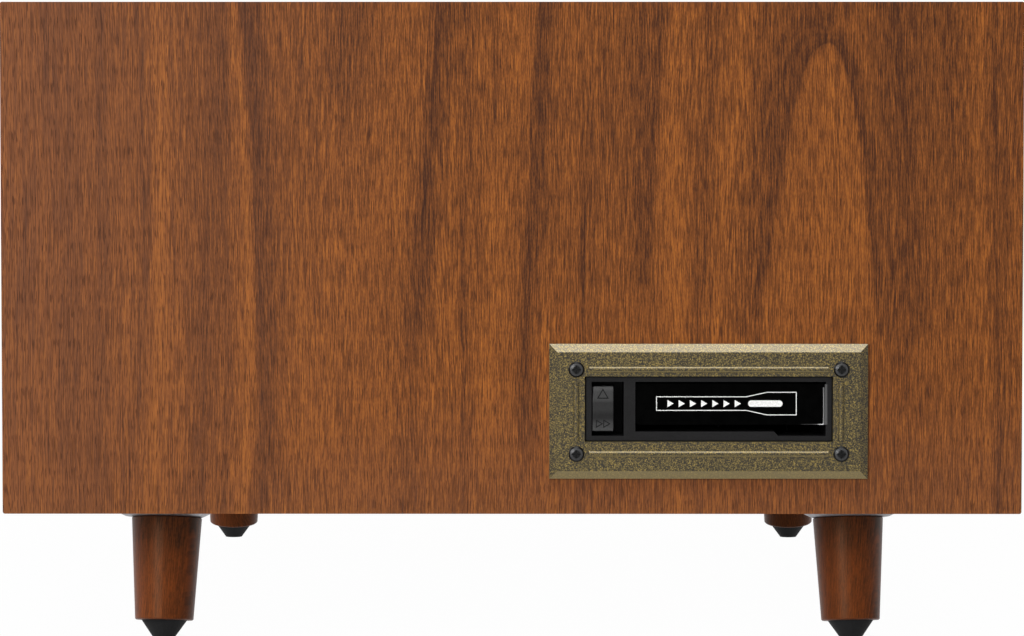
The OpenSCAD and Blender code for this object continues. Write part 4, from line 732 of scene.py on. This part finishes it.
# painted highlight on a ring under the screw's crown, painted shade deeper down in the recess
CROWN_PAINTED_TONES = [(-0.9, 2), (-0.4, 4), (-0.25, 60), (-0.06, 46), (0.0, 10)]
dress(graded("plastic_button_cap", "Z", BUTTON_PAINTED_TONES, 0.4, 0.12), "eject_button")
screw_crown = box_mm("bezel_screws")[1].x
crown_stops = [(screw_crown + sink, grey) for sink, grey in CROWN_PAINTED_TONES]
dress(graded("screw_black_crown", "X", crown_stops, 0.3, 0.2), "bezel_screws")
print("Button and bezel screws dressed")

# %% [markdown]
# ## Softer edges
# A CAD solid has edges of no width, which never catch the light. Two live modifiers change that without
# touching the mesh: Weld joins the loose triangles, and Bevel rounds every edge sharper than its limit by a
# fraction of a millimetre, as moulding, sanding and lacquer do on the real pieces.

# %% Soft edges
SHARP = math.radians(50)


def soften(width, *names):
    """Rounds the sharp edges of CAD nodes by width millimetres."""
    for name in names:
        weld = cad_nodes[name].modifiers.new("join_triangles", "WELD")
        weld.merge_threshold = HAIR
        round_off = cad_nodes[name].modifiers.new("soft_edges", "BEVEL")
        round_off.width = width * MM
        round_off.segments = 2
        round_off.limit_method = "ANGLE"
        round_off.angle_limit = SHARP
    print("Edges rounded by", width, "mm on", len(names), "nodes")


soften(0.35, "cassette_housing")
soften(0.25, "eject_button")
soften(0.5, "lid_panel", "left_side_panel", "right_side_panel", "control_plate", "speaker_grilles",
       "arm_base")

# %% [markdown]
# ## How new pieces are made
# Each small piece is modelled lying flat at the origin, facing up: it starts as a primitive, is shaped in
# edit mode, and is then turned and moved to its place on the player. Four directions are enough for that.
# At the end the place goes into the mesh, so the object itself stays at the origin like the CAD nodes.

# %% Modelling helpers
FRONT = Matrix.Rotation(math.radians(90), 4, "X")
REAR = Matrix.Rotation(math.radians(-90), 4, "X") @ Matrix.Rotation(math.radians(180), 4, "Z")
TOP = Matrix.Identity(4)
SIDE = Matrix(((0, 0, 1, 0), (1, 0, 0, 0), (0, 1, 0, 0), (0, 0, 0, 1)))


def at(x, y, z):
    """A place in millimetres."""
    return Matrix.Translation((x * MM, y * MM, z * MM))


def start(operator, **settings):
    """Runs an operator that adds an object, with nothing selected before, and gives the object."""
    bpy.ops.object.select_all(action="DESELECT")
    operator(**settings)
    return bpy.context.object


def only(piece):
    """Makes one object the only selected one."""
    bpy.ops.object.select_all(action="DESELECT")
    piece.select_set(True)
    bpy.context.view_layer.objects.active = piece


def select_where(piece, kind, items, test):
    """Enters edit mode with the points or faces selected that pass the test."""
    only(piece)
    bpy.ops.object.mode_set(mode="EDIT")
    bpy.ops.mesh.select_mode(type=kind)
    bpy.ops.mesh.select_all(action="DESELECT")
    bpy.ops.object.mode_set(mode="OBJECT")
    for item in getattr(piece.data, items):
        item.select = test(item)
    bpy.ops.object.mode_set(mode="EDIT")


def select_points(piece, test):
    """Enters edit mode with the points selected whose place passes the test."""
    select_where(piece, "VERT", "vertices", lambda point: test(point.co))


def select_faces(piece, test):
    """Enters edit mode with the faces selected that pass the test."""
    select_where(piece, "FACE", "polygons", test)


def leave_edit():
    """Goes back to object mode."""
    bpy.ops.object.mode_set(mode="OBJECT")


def apply_modifier(piece, kind, **settings):
    """Adds a modifier, sets it up and applies it."""
    only(piece)
    modifier = piece.modifiers.new(kind.lower(), kind)
    for name, value in settings.items():
        setattr(modifier, name, value)
    bpy.ops.object.modifier_apply(modifier=modifier.name)


def thicken(piece, thickness):
    """Gives a flat outline its thickness, upwards from its own plane."""
    apply_modifier(piece, "SOLIDIFY", thickness=thickness * MM, offset=1.0)


def flat_plate(width, length, x=0, y=0):
    """A flat rectangle round a place in its own plane."""
    plate = start(bpy.ops.mesh.primitive_plane_add, size=MM)
    plate.scale = (width, length, 1)
    plate.location = (x * MM, y * MM, 0)
    bpy.ops.object.transform_apply(location=True, scale=True)
    return plate


def flat_triangle(radius, turn):
    """A flat triangle, turned by some degrees."""
    triangle = start(bpy.ops.mesh.primitive_circle_add, vertices=3, radius=radius * MM, fill_type="NGON",
                     rotation=(0, 0, math.radians(turn)))
    bpy.ops.object.transform_apply(rotation=True)
    return triangle


def keep_rim(piece, width, thickness):
    """Insets a flat outline, removes its middle and thickens the line that stays."""
    select_faces(piece, lambda face: True)
    bpy.ops.mesh.inset(thickness=width * MM)
    bpy.ops.mesh.delete(type="FACE")
    leave_edit()
    thicken(piece, thickness)


def copy_to(master, places):
    """Copies of a master, each with its own mesh, at the given places. The master goes away."""
    copies = []
    for place in places:
        only(master)
        bpy.ops.object.duplicate(linked=False)
        bpy.context.object.matrix_world = place
        copies.append(bpy.context.object)
    bpy.data.objects.remove(master)
    return copies


def set_in_place(pieces, name, body, finish):
    """Joins pieces into one with its place in the mesh, and gives it a name, a finish and a body."""
    bpy.ops.object.select_all(action="DESELECT")
    for piece in pieces:
        piece.select_set(True)
    bpy.context.view_layer.objects.active = pieces[0]
    if len(pieces) > 1:
        bpy.ops.object.join()
    bpy.ops.object.transform_apply(location=True, rotation=True, scale=True)
    made = bpy.context.object
    made.name = name
    made.data.name = name
    made.data.materials.clear()
    made.data.materials.append(finish)
    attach(made, body)
    print(name, "has", len(made.data.polygons), "faces and rides on", body)
    return made


# %% [markdown]
# ## Screws
# Hinges, back panel, deck and front plate are held by pan-head screws with a cross recess. One screw is
# modelled: a cylinder whose top is inset twice and raised to a dome, with the cross cut out by a boolean.
# All others are copies of it.

# %% Screws
FLANK = 0.5
DOME_STEPS = ((0.22, 0.32), (0.3, 0.18))
CROSS_LONG, CROSS_WIDE, CROSS_DEEP = 1.15, 0.24, 0.9
SMOOTH = math.radians(35)


def pan_screw(radius, height):
    """A screw head that stands on the origin and points up, sizes in millimetres."""
    head = start(bpy.ops.mesh.primitive_cylinder_add, vertices=24, radius=radius * MM,
                 depth=height * FLANK * MM, location=(0, 0, height * FLANK / 2 * MM))
    bpy.ops.object.transform_apply(location=True)
    for share, rise in DOME_STEPS:
        top = max(point.co.z for point in head.data.vertices)
        select_faces(head, lambda face: face.normal.z > 0.9 and face.center.z > top - HAIR)
        bpy.ops.mesh.inset(thickness=radius * share * MM)
        bpy.ops.transform.translate(value=(0, 0, height * rise * MM))
        leave_edit()
    for turn in (0, 90):
        cutter = start(bpy.ops.mesh.primitive_cube_add, size=MM, location=(0, 0, height * MM),
                       rotation=(0, 0, math.radians(turn)),
                       scale=(radius * CROSS_LONG, radius * CROSS_WIDE, height * CROSS_DEEP))
        apply_modifier(head, "BOOLEAN", object=cutter, operation="DIFFERENCE")
        bpy.data.objects.remove(cutter)
    only(head)
    bpy.ops.object.shade_smooth_by_angle(angle=SMOOTH)
    return head


def set_screws(name, body, slot, radius, height, places):
    """Copies of one screw at several places, as one piece."""
    set_in_place(copy_to(pan_screw(radius, height), places), name, body, finishes[slot])


HINGE_SCREW, BACK_SCREW, PLATE_SCREW, DECK_SCREW = (1.8, 1.1), (2.8, 1.6), (2.4, 1.4), (3.0, 1.6)
LEAF_FACE, LEAF_INSET = 172.7, 3.6
HINGE_MIDDLE, HINGE_STEP = 130, 17
hinge_xs = [side * HINGE_MIDDLE + step for side in (-1, 1) for step in (-HINGE_STEP, 0, HINGE_STEP)]
for name, body, z in (("hinge_screws_lid", "lid", box_mm("hinge_lid_leaves")[1].z - LEAF_INSET),
                      ("hinge_screws_cabinet", "cabinet", box_mm("hinge_cabinet_leaves")[0].z + LEAF_INSET)):
    set_screws(name, body, "hinge_brass", *HINGE_SCREW, [at(x, LEAF_FACE, z) @ REAR for x in hinge_xs])

BACK_INSET, SOCKET_INSET = 9, 3
back_low, back_high = box_mm("back_panel")
back_rows = (back_low.z + BACK_INSET, (back_low.z + back_high.z) / 2, back_high.z - BACK_INSET)
back_places = [(x, z) for x in (back_low.x + BACK_INSET, back_high.x - BACK_INSET) for z in back_rows]
back_places += [(0, back_rows[0]), (0, back_rows[2])]
socket_low, socket_high = box_mm("connector_plate")
socket_z = (socket_low.z + socket_high.z) / 2
back_places += [(x, socket_z) for x in (socket_low.x + SOCKET_INSET, socket_high.x - SOCKET_INSET)]
set_screws("back_panel_screws", "cabinet", "black_screw", *BACK_SCREW,
           [at(x, back_high.y, z) @ REAR for x, z in back_places])

PLATE_INSET = 7.5
PLATE_FACE = -163.5
plate_low, plate_high = box_mm("control_plate")
plate_corners = [(x, z) for x in (plate_low.x + PLATE_INSET, plate_high.x - PLATE_INSET)
                 for z in (plate_low.z + PLATE_INSET, plate_high.z - PLATE_INSET)]
set_screws("front_plate_screws", "cabinet", "black_screw", *PLATE_SCREW,
           [at(x, PLATE_FACE, z) @ FRONT for x, z in plate_corners])

DECK_INSET = 12
deck_low, deck_high = box_mm("deck_plate")
deck_corners = [(x, y) for x in (deck_low.x + DECK_INSET, deck_high.x - DECK_INSET)
                for y in (deck_low.y + DECK_INSET, deck_high.y - DECK_INSET)]
set_screws("deck_screws", "cabinet", "black_screw", *DECK_SCREW,
           [at(x, y, deck_high.z) @ TOP for x, y in deck_corners])

# %% [markdown]
# ## Grille cloth
# Behind each bronze frame a loosely woven cloth is stretched over the sound slots. It is a real sheet: a
# grid whose rim is pulled back under the frame, rounded by subdivision and given the thickness of cloth.
# Its weave follows the front, so it reads the object's own X and Z.

# %% Weave of the grille cloth
THREAD = 1.25
WEFT_BROWN, WARP_BROWN = paint(122, 98, 66), paint(84, 64, 43)
SLUB_TAN, FLECK_GOLD, GAP_BROWN = paint(150, 126, 90), paint(190, 160, 96), paint(34, 26, 19)
SLUB_SCALE, FLECK_SCALE = 420.0, 900.0
SLUB_SHARE, FLECK_SHARE = 0.5, 0.5
cloth_finish, shader, coordinates = new_finish(
    "grille_weave", {"Roughness": 0.9, "Specular IOR Level": 0.15, "Sheen Weight": 0.15})
place = coordinates["Object"]
axes = scaled_axes(place, math.pi / (THREAD * MM))
warp_wave, weft_wave = calc("SINE", axes["X"]), calc("SINE", axes["Z"])
over = smooth_step(mul(warp_wave, weft_wave), -0.12, 0.12)
weave_height = choose(over, calc("ABSOLUTE", weft_wave), calc("ABSOLUTE", warp_wave))
slub = mul(plain_noise(place, SLUB_SCALE, 2.0), SLUB_SHARE)
fleck = mul(smooth_step(plain_noise(place, FLECK_SCALE, 1.0), 0.62, 0.7), FLECK_SHARE)
thread_colour = blend_colours(over, WEFT_BROWN, WARP_BROWN)
slub_colour = blend_colours(slub, thread_colour, SLUB_TAN)
fleck_colour = blend_colours(fleck, slub_colour, FLECK_GOLD)
gap_shade = smooth_step(weave_height, 0.45, 0.05)
link(blend_colours(gap_shade, fleck_colour, GAP_BROWN), shader.inputs["Base Color"])
emboss(shader, weave_height, 0.6, 0.3)
print("Threads", THREAD, "mm apart")

# %% Two stretched cloths
cloth_low, cloth_high = box_mm("grille_cloths")
CLOTH_WIDTH = 103.4
CLOTH_HEIGHT = cloth_high.z - cloth_low.z
CLOTH_THICK = 0.4
RIM_DROP = 1.1


def grille_cloth(name, x):
    """One cloth, stretched over the baffle inside its frame."""
    cloth = start(bpy.ops.mesh.primitive_grid_add, x_subdivisions=26, y_subdivisions=30, size=MM)
    cloth.scale = (CLOTH_WIDTH, CLOTH_HEIGHT, 1)
    bpy.ops.object.transform_apply(scale=True)
    rim_x, rim_y = CLOTH_WIDTH / 2 * MM - HAIR, CLOTH_HEIGHT / 2 * MM - HAIR
    select_points(cloth, lambda p: abs(p.x) > rim_x or abs(p.y) > rim_y)
    bpy.ops.transform.translate(value=(0, 0, -RIM_DROP * MM))
    leave_edit()
    apply_modifier(cloth, "SUBSURF", levels=1, render_levels=1)
    apply_modifier(cloth, "SOLIDIFY", thickness=CLOTH_THICK * MM, offset=-1.0)
    bpy.ops.object.shade_smooth()
    cloth.matrix_world = at(x, cloth_low.y, (cloth_low.z + cloth_high.z) / 2) @ FRONT
    made = set_in_place([cloth], name, "cabinet", cloth_finish)
    return made


cloth_x = cloth_high.x - CLOTH_WIDTH / 2
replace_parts(grille_cloth("grille_cloth_left", -cloth_x), "grille_cloths")
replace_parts(grille_cloth("grille_cloth_right", cloth_x), "grille_cloths")

# %% [markdown]
# ## Dial
# The dial is a black disc sunk into the bronze plate, with ivory ticks and plain numbers. Ticks are bars
# that are narrowed to one end, and numbers start as text and become meshes before they are placed, because
# a mesh keeps its place in its points.

# %% Print helpers
PRINT = 0.08
dial_ink = mottled("print_ivory", (205, 196, 170), (232, 224, 200), 0.6, (0.5, 0.6), 0.0, 0.3, 0.02)
dial_black = mottled("dial_enamel", (12, 12, 13), (22, 22, 23), 0.8, (0.25, 0.35), 0.0, 0.3, 0.02)


def tick_bar(width, length, thickness=PRINT):
    """A bar that lies along Y round the origin and is a little narrower at its end."""
    bar = flat_plate(width, length)
    select_points(bar, lambda p: p.y > 0)
    bpy.ops.transform.resize(value=(0.75, 1, 1))
    leave_edit()
    thicken(bar, thickness)
    return bar


def plain_number(words, size, place):
    """A number as a thin mesh, centred on a place."""
    number = start(bpy.ops.object.text_add)
    number.data.body = words
    number.data.size = size * MM
    number.data.align_x = "CENTER"
    number.data.align_y = "CENTER"
    number.data.extrude = PRINT / 2 * MM
    bpy.ops.object.convert(target="MESH")
    bpy.context.object.matrix_world = place
    return bpy.context.object


def round_the(centre, facing, angle, radius, height=0):
    """A place on a dial: angle clockwise from the top, in degrees, and radius in millimetres."""
    return centre @ facing @ Matrix.Rotation(math.radians(-angle), 4, "Z") @ at(0, radius, height)


print("Print is", PRINT, "mm thick")

# %% Dial face, ticks and numbers
DIAL_Z = sum(corner.z for corner in box_mm("tuning_knob")) / 2
DIAL_FLOOR, DIAL_LEVEL = -162.3, 0.15
DIAL_HOLE, DIAL_RADIUS = 7.4, 35.7
DIAL_SWEEP, DIAL_PARTS = 70, 5
DIAL_TEXT, DIAL_TEXT_RADIUS = 5.4, 25.6
DIAL_NUMBERS = ("88", "92", "96", "100", "104", "108")
dial_middle = at(0, DIAL_FLOOR, DIAL_Z)
face_disc = start(bpy.ops.mesh.primitive_circle_add, vertices=96, radius=DIAL_HOLE * MM)
select_points(face_disc, lambda p: True)
bpy.ops.mesh.extrude_edges_move()
bpy.ops.transform.resize(value=(DIAL_RADIUS / DIAL_HOLE, DIAL_RADIUS / DIAL_HOLE, 1))
bpy.ops.mesh.select_all(action="SELECT")
bpy.ops.mesh.normals_make_consistent(inside=False)
leave_edit()
thicken(face_disc, DIAL_LEVEL)
face_disc.matrix_world = dial_middle @ FRONT
set_in_place([face_disc], "dial_face", "cabinet", dial_black)

dial_steps = len(DIAL_NUMBERS) - 1
step = 2 * DIAL_SWEEP / dial_steps
angles = [-DIAL_SWEEP + i * step for i in range(dial_steps + 1)]
fine_angles = [-DIAL_SWEEP + i * step / DIAL_PARTS for i in range(DIAL_PARTS * dial_steps + 1)]
dial_marks = []
tick_rings = ((0.55, 4.2, 31.2, angles), (0.3, 2.2, 32.2, fine_angles))
for width, length, radius, places in tick_rings:
    dial_marks += copy_to(tick_bar(width, length),
                          [round_the(dial_middle, FRONT, a, radius, DIAL_LEVEL) for a in places])
for words, angle in zip(DIAL_NUMBERS, angles):
    spot = round_the(dial_middle, FRONT, angle, DIAL_TEXT_RADIUS, DIAL_LEVEL + PRINT / 2)
    dial_marks.append(plain_number(words, DIAL_TEXT, spot))
set_in_place(dial_marks, "dial_scale", "cabinet", dial_ink)

# %% [markdown]
# The two lower knobs get rings of ticks on the plate, and each knob an ivory line in its index groove.

# %% Knob scales and index lines
KNOB_Z = sum(corner.z for corner in box_mm("volume_knob")) / 2
KNOB_X, KNOB_TOP = 40, 12.0
VOLUME_SWEEP, FUNCTION_SWEEP = 150, 60
KNOB_TICK, KNOB_RING = 2.4, 14.4
INDEX_WIDTH, INDEX_THICK = 0.9, 0.45
INDEX_LENGTH, INDEX_OUT = 0.42, 0.6
volume_middle, function_middle = at(-KNOB_X, PLATE_FACE, KNOB_Z), at(KNOB_X, PLATE_FACE, KNOB_Z)
knob_marks = []
knob_rings = ((volume_middle, 0.6, VOLUME_SWEEP, 10), (function_middle, 0.9, FUNCTION_SWEEP, 3))
for middle, width, sweep, count in knob_rings:
    turns = [-sweep + i * 2 * sweep / count for i in range(count + 1)]
    places = [round_the(middle, FRONT, turn, KNOB_RING) for turn in turns]
    knob_marks += copy_to(tick_bar(width, KNOB_TICK), places)
set_in_place(knob_marks, "knob_scales", "cabinet", dial_ink)

for name, body, middle, radius in (
        ("tuning_index", "tuning", at(0, PLATE_FACE, DIAL_Z), 13),
        ("volume_index", "volume", volume_middle, 11), ("function_index", "function", function_middle, 11)):
    index = tick_bar(INDEX_WIDTH, radius * INDEX_LENGTH, INDEX_THICK)
    index.matrix_world = middle @ FRONT @ at(0, radius * INDEX_OUT, KNOB_TOP)
    set_in_place([index], name, body, dial_ink)

# %% [markdown]
# ## Speed marks
# Three plain numbers for the record speeds stand round the lever on the deck.

# %% Speed marks
SPEED_X, SPEED_Y = 170, -93
SPEED_STEP, SPEED_RADIUS, SPEED_TEXT = 30, 27, 5.0
speed_middle = at(SPEED_X, SPEED_Y, deck_high.z)
speed_marks = []
for words, angle in (("33", 180 + SPEED_STEP), ("45", 180), ("78", 180 - SPEED_STEP)):
    spot = round_the(speed_middle, TOP, angle, SPEED_RADIUS, PRINT / 2)
    speed_marks.append(plain_number(words, SPEED_TEXT, Matrix.Translation(spot.translation)))
set_in_place(speed_marks, "speed_marks", "cabinet", dial_ink)

# %% [markdown]
# ## Print on the cassette flap
# A white outline on the flap shows which way a cassette goes in: a bar that widens to the right, with a
# white pill in its wide end and a row of plain arrowheads. The outline is one plate, extruded twice to the
# right; its faces are inset and the middle is removed, which leaves a line of even width.

# %% Flap print
print_white = mottled("print_white", (206, 206, 204), (240, 240, 238), 0.5, (0.5, 0.6), 0.0, 0.3, 0.02)
WINDOW_Y, WINDOW_Z = 68.4, 86.1445
FLAP_FACE = 221.0
flap_spot = at(FLAP_FACE, WINDOW_Y, WINDOW_Z) @ SIDE
OUTLINE_LEFT, OUTLINE_FLARE, OUTLINE_WIDE, OUTLINE_RIGHT = -18.23, 13.03, 20.32, 30.6
OUTLINE_MIDDLE = 1.82
NARROW_HALF, WIDE_HALF = 2.5, 4.08
LINE = 0.27

outline = flat_plate(OUTLINE_FLARE - OUTLINE_LEFT, 2 * NARROW_HALF,
                     (OUTLINE_FLARE + OUTLINE_LEFT) / 2, OUTLINE_MIDDLE)
outline_steps = ((OUTLINE_FLARE, OUTLINE_WIDE, WIDE_HALF / NARROW_HALF), (OUTLINE_WIDE, OUTLINE_RIGHT, 1))
for begin, end, grow in outline_steps:
    select_points(outline, lambda p: p.x > begin * MM - HAIR)
    bpy.ops.mesh.extrude_edges_move(TRANSFORM_OT_translate={"value": ((end - begin) * MM, 0, 0)})
    bpy.ops.transform.resize(value=(1, grow, 1), center_override=(0, OUTLINE_MIDDLE * MM, 0))
    leave_edit()
select_faces(outline, lambda face: True)
bpy.ops.mesh.normals_make_consistent(inside=False)
leave_edit()
keep_rim(outline, LINE, PRINT)

PILL_LEFT, PILL_RIGHT, PILL_HALF = 13.72, 25.7, 1.13
pill = start(bpy.ops.mesh.primitive_circle_add, vertices=32, radius=PILL_HALF * MM, fill_type="NGON")
half_run = (PILL_RIGHT - PILL_LEFT) / 2 - PILL_HALF
for sign in (-1, 1):
    select_points(pill, lambda p: p.x * sign > HAIR)
    bpy.ops.transform.translate(value=(sign * half_run * MM, 0, 0))
    leave_edit()
thicken(pill, PRINT)
pill.matrix_world = at((PILL_LEFT + PILL_RIGHT) / 2, OUTLINE_MIDDLE, 0)

ARROW_COUNT, ARROW_FROM, ARROW_PITCH, ARROW_RADIUS = 7, -13.6, 3.9, 1.45
arrow = flat_triangle(ARROW_RADIUS, -90)
thicken(arrow, PRINT)
arrow_places = [at(ARROW_FROM + i * ARROW_PITCH, OUTLINE_MIDDLE, 0) for i in range(ARROW_COUNT)]
flap_print = [outline, pill, *copy_to(arrow, arrow_places)]
for piece in flap_print:
    piece.matrix_world = flap_spot @ piece.matrix_world
set_in_place(flap_print, "flap_print", "flap", print_white)

# %% [markdown]
# Slim strips carry painted highlights: one stands on the slot's right wall beside the flap, with a duller
# painted highlight on the housing's lip next to it, and the other runs along the flap's lower edge and
# loses itself to the left. Each starts as a flat bar that is narrowed at one end, and a dark rim, put in
# as painted shade, fills the gap between the bezel and the housing where the shadow falls.

# %% Painted highlight strips at the slot
# painted highlights: a bright band across each strip
HIGHLIGHT_TONES = [(98.0, 12), (104.0, 34), (106.2, 80), (107.0, 225), (108.3, 225), (108.5, 74), (110.0, 66)]
STRIP_THICK, STRIP_SINK = 0.12, 0.4
STRIP_TOP, STRIP_FOOT = 8.6, -5.4
STRIP_X, STRIP_WIDTH = 39.8, 1.15
LIP_X, LIP_WIDTH = 40.75, 1.0
highlight_finish = graded("painted_highlight_strip", "Y", HIGHLIGHT_TONES, 0.2, 0.4)
flap_low, flap_high = box_mm("cassette_flap")
housing_low, housing_high = box_mm("cassette_housing")
housing_spot = at(housing_high.x, WINDOW_Y, WINDOW_Z) @ SIDE
strip_middle = (STRIP_TOP + STRIP_FOOT) / 2
strip_length = STRIP_TOP - STRIP_FOOT
wall_highlight = tick_bar(STRIP_WIDTH, strip_length, STRIP_THICK)
lip_highlight = tick_bar(LIP_WIDTH, strip_length, STRIP_THICK)
wall_highlight.matrix_world = flap_spot @ at(STRIP_X, strip_middle, -STRIP_SINK)
lip_highlight.matrix_world = housing_spot @ at(LIP_X, strip_middle, 0)
set_in_place([wall_highlight, lip_highlight], "slot_wall_highlight", "cabinet", highlight_finish)

# painted shade: a dark rim put in the gap round the housing, where shadow falls
GAP_RIM, GAP_RIM_SINK, GAP_RIM_DEEP = 0.36, 0.9, 0.3
gap_shade_rim = flat_plate(housing_high.y - housing_low.y + 2 * GAP_RIM, housing_high.z - housing_low.z + 2 * GAP_RIM)
keep_rim(gap_shade_rim, GAP_RIM, GAP_RIM_DEEP)
gap_shade_rim.matrix_world = housing_spot @ at(0, 0, -GAP_RIM_SINK)
set_in_place([gap_shade_rim], "window_gap_shade", "cabinet", finishes["rubber"])

EDGE_RUN, EDGE_WIDTH, EDGE_UP, EDGE_IN = 9.0, 0.22, 0.05, 1
edge = tick_bar(EDGE_WIDTH, EDGE_RUN, STRIP_THICK)
edge_y, edge_z = flap_high.y - EDGE_IN - EDGE_RUN / 2, flap_low.z + EDGE_WIDTH / 2 + EDGE_UP
edge.matrix_world = at(FLAP_FACE, edge_y, edge_z) @ SIDE @ Matrix.Rotation(math.radians(90), 4, "Z")
# painted highlight along the flap's lower edge
set_in_place([edge], "flap_edge_highlight", "flap", highlight_finish)

# %% [markdown]
# ## Signs on the button
# A triangle for eject and a double triangle for winding are moulded into the button. They are thin outlines,
# one on the sloping upper part of the cap and two on the flat part, a shade darker than the plastic.

# %% Button signs
sign_finish = mottled("button_sign", (7, 7, 7), (14, 14, 14), 0.4, (0.45, 0.55), 0.0, 0.1, 0.05)
SIGN_THICK = 0.06
EJECT_RADIUS, EJECT_LINE = 2.4, 0.35
WIND_RADIUS, WIND_LINE, WIND_STEPS = 1.7, 0.3, (-1.6, 1.0)
BUTTON_FACE, BUTTON_Y = 221.3, -36.75
SLOPE_FROM, SLOPE_HEIGHT, SLOPE_DEPTH = 2.35, 5.4, 0.9
EJECT_UP, WIND_UP = 4.7, -5.2
button_spot = at(BUTTON_FACE, WINDOW_Y, WINDOW_Z) @ SIDE
eject = flat_triangle(EJECT_RADIUS, 0)
keep_rim(eject, EJECT_LINE, SIGN_THICK)
eject_sink = (EJECT_UP - SLOPE_FROM) * SLOPE_DEPTH / SLOPE_HEIGHT
slope = Matrix.Rotation(-math.atan2(SLOPE_DEPTH, SLOPE_HEIGHT), 4, "X")
eject.matrix_world = button_spot @ at(BUTTON_Y, EJECT_UP, -eject_sink) @ slope
wind = flat_triangle(WIND_RADIUS, -90)
keep_rim(wind, WIND_LINE, SIGN_THICK)
winds = copy_to(wind, [button_spot @ at(BUTTON_Y + x, WIND_UP, 0) for x in WIND_STEPS])
set_in_place([eject, *winds], "button_signs", "button", sign_finish)
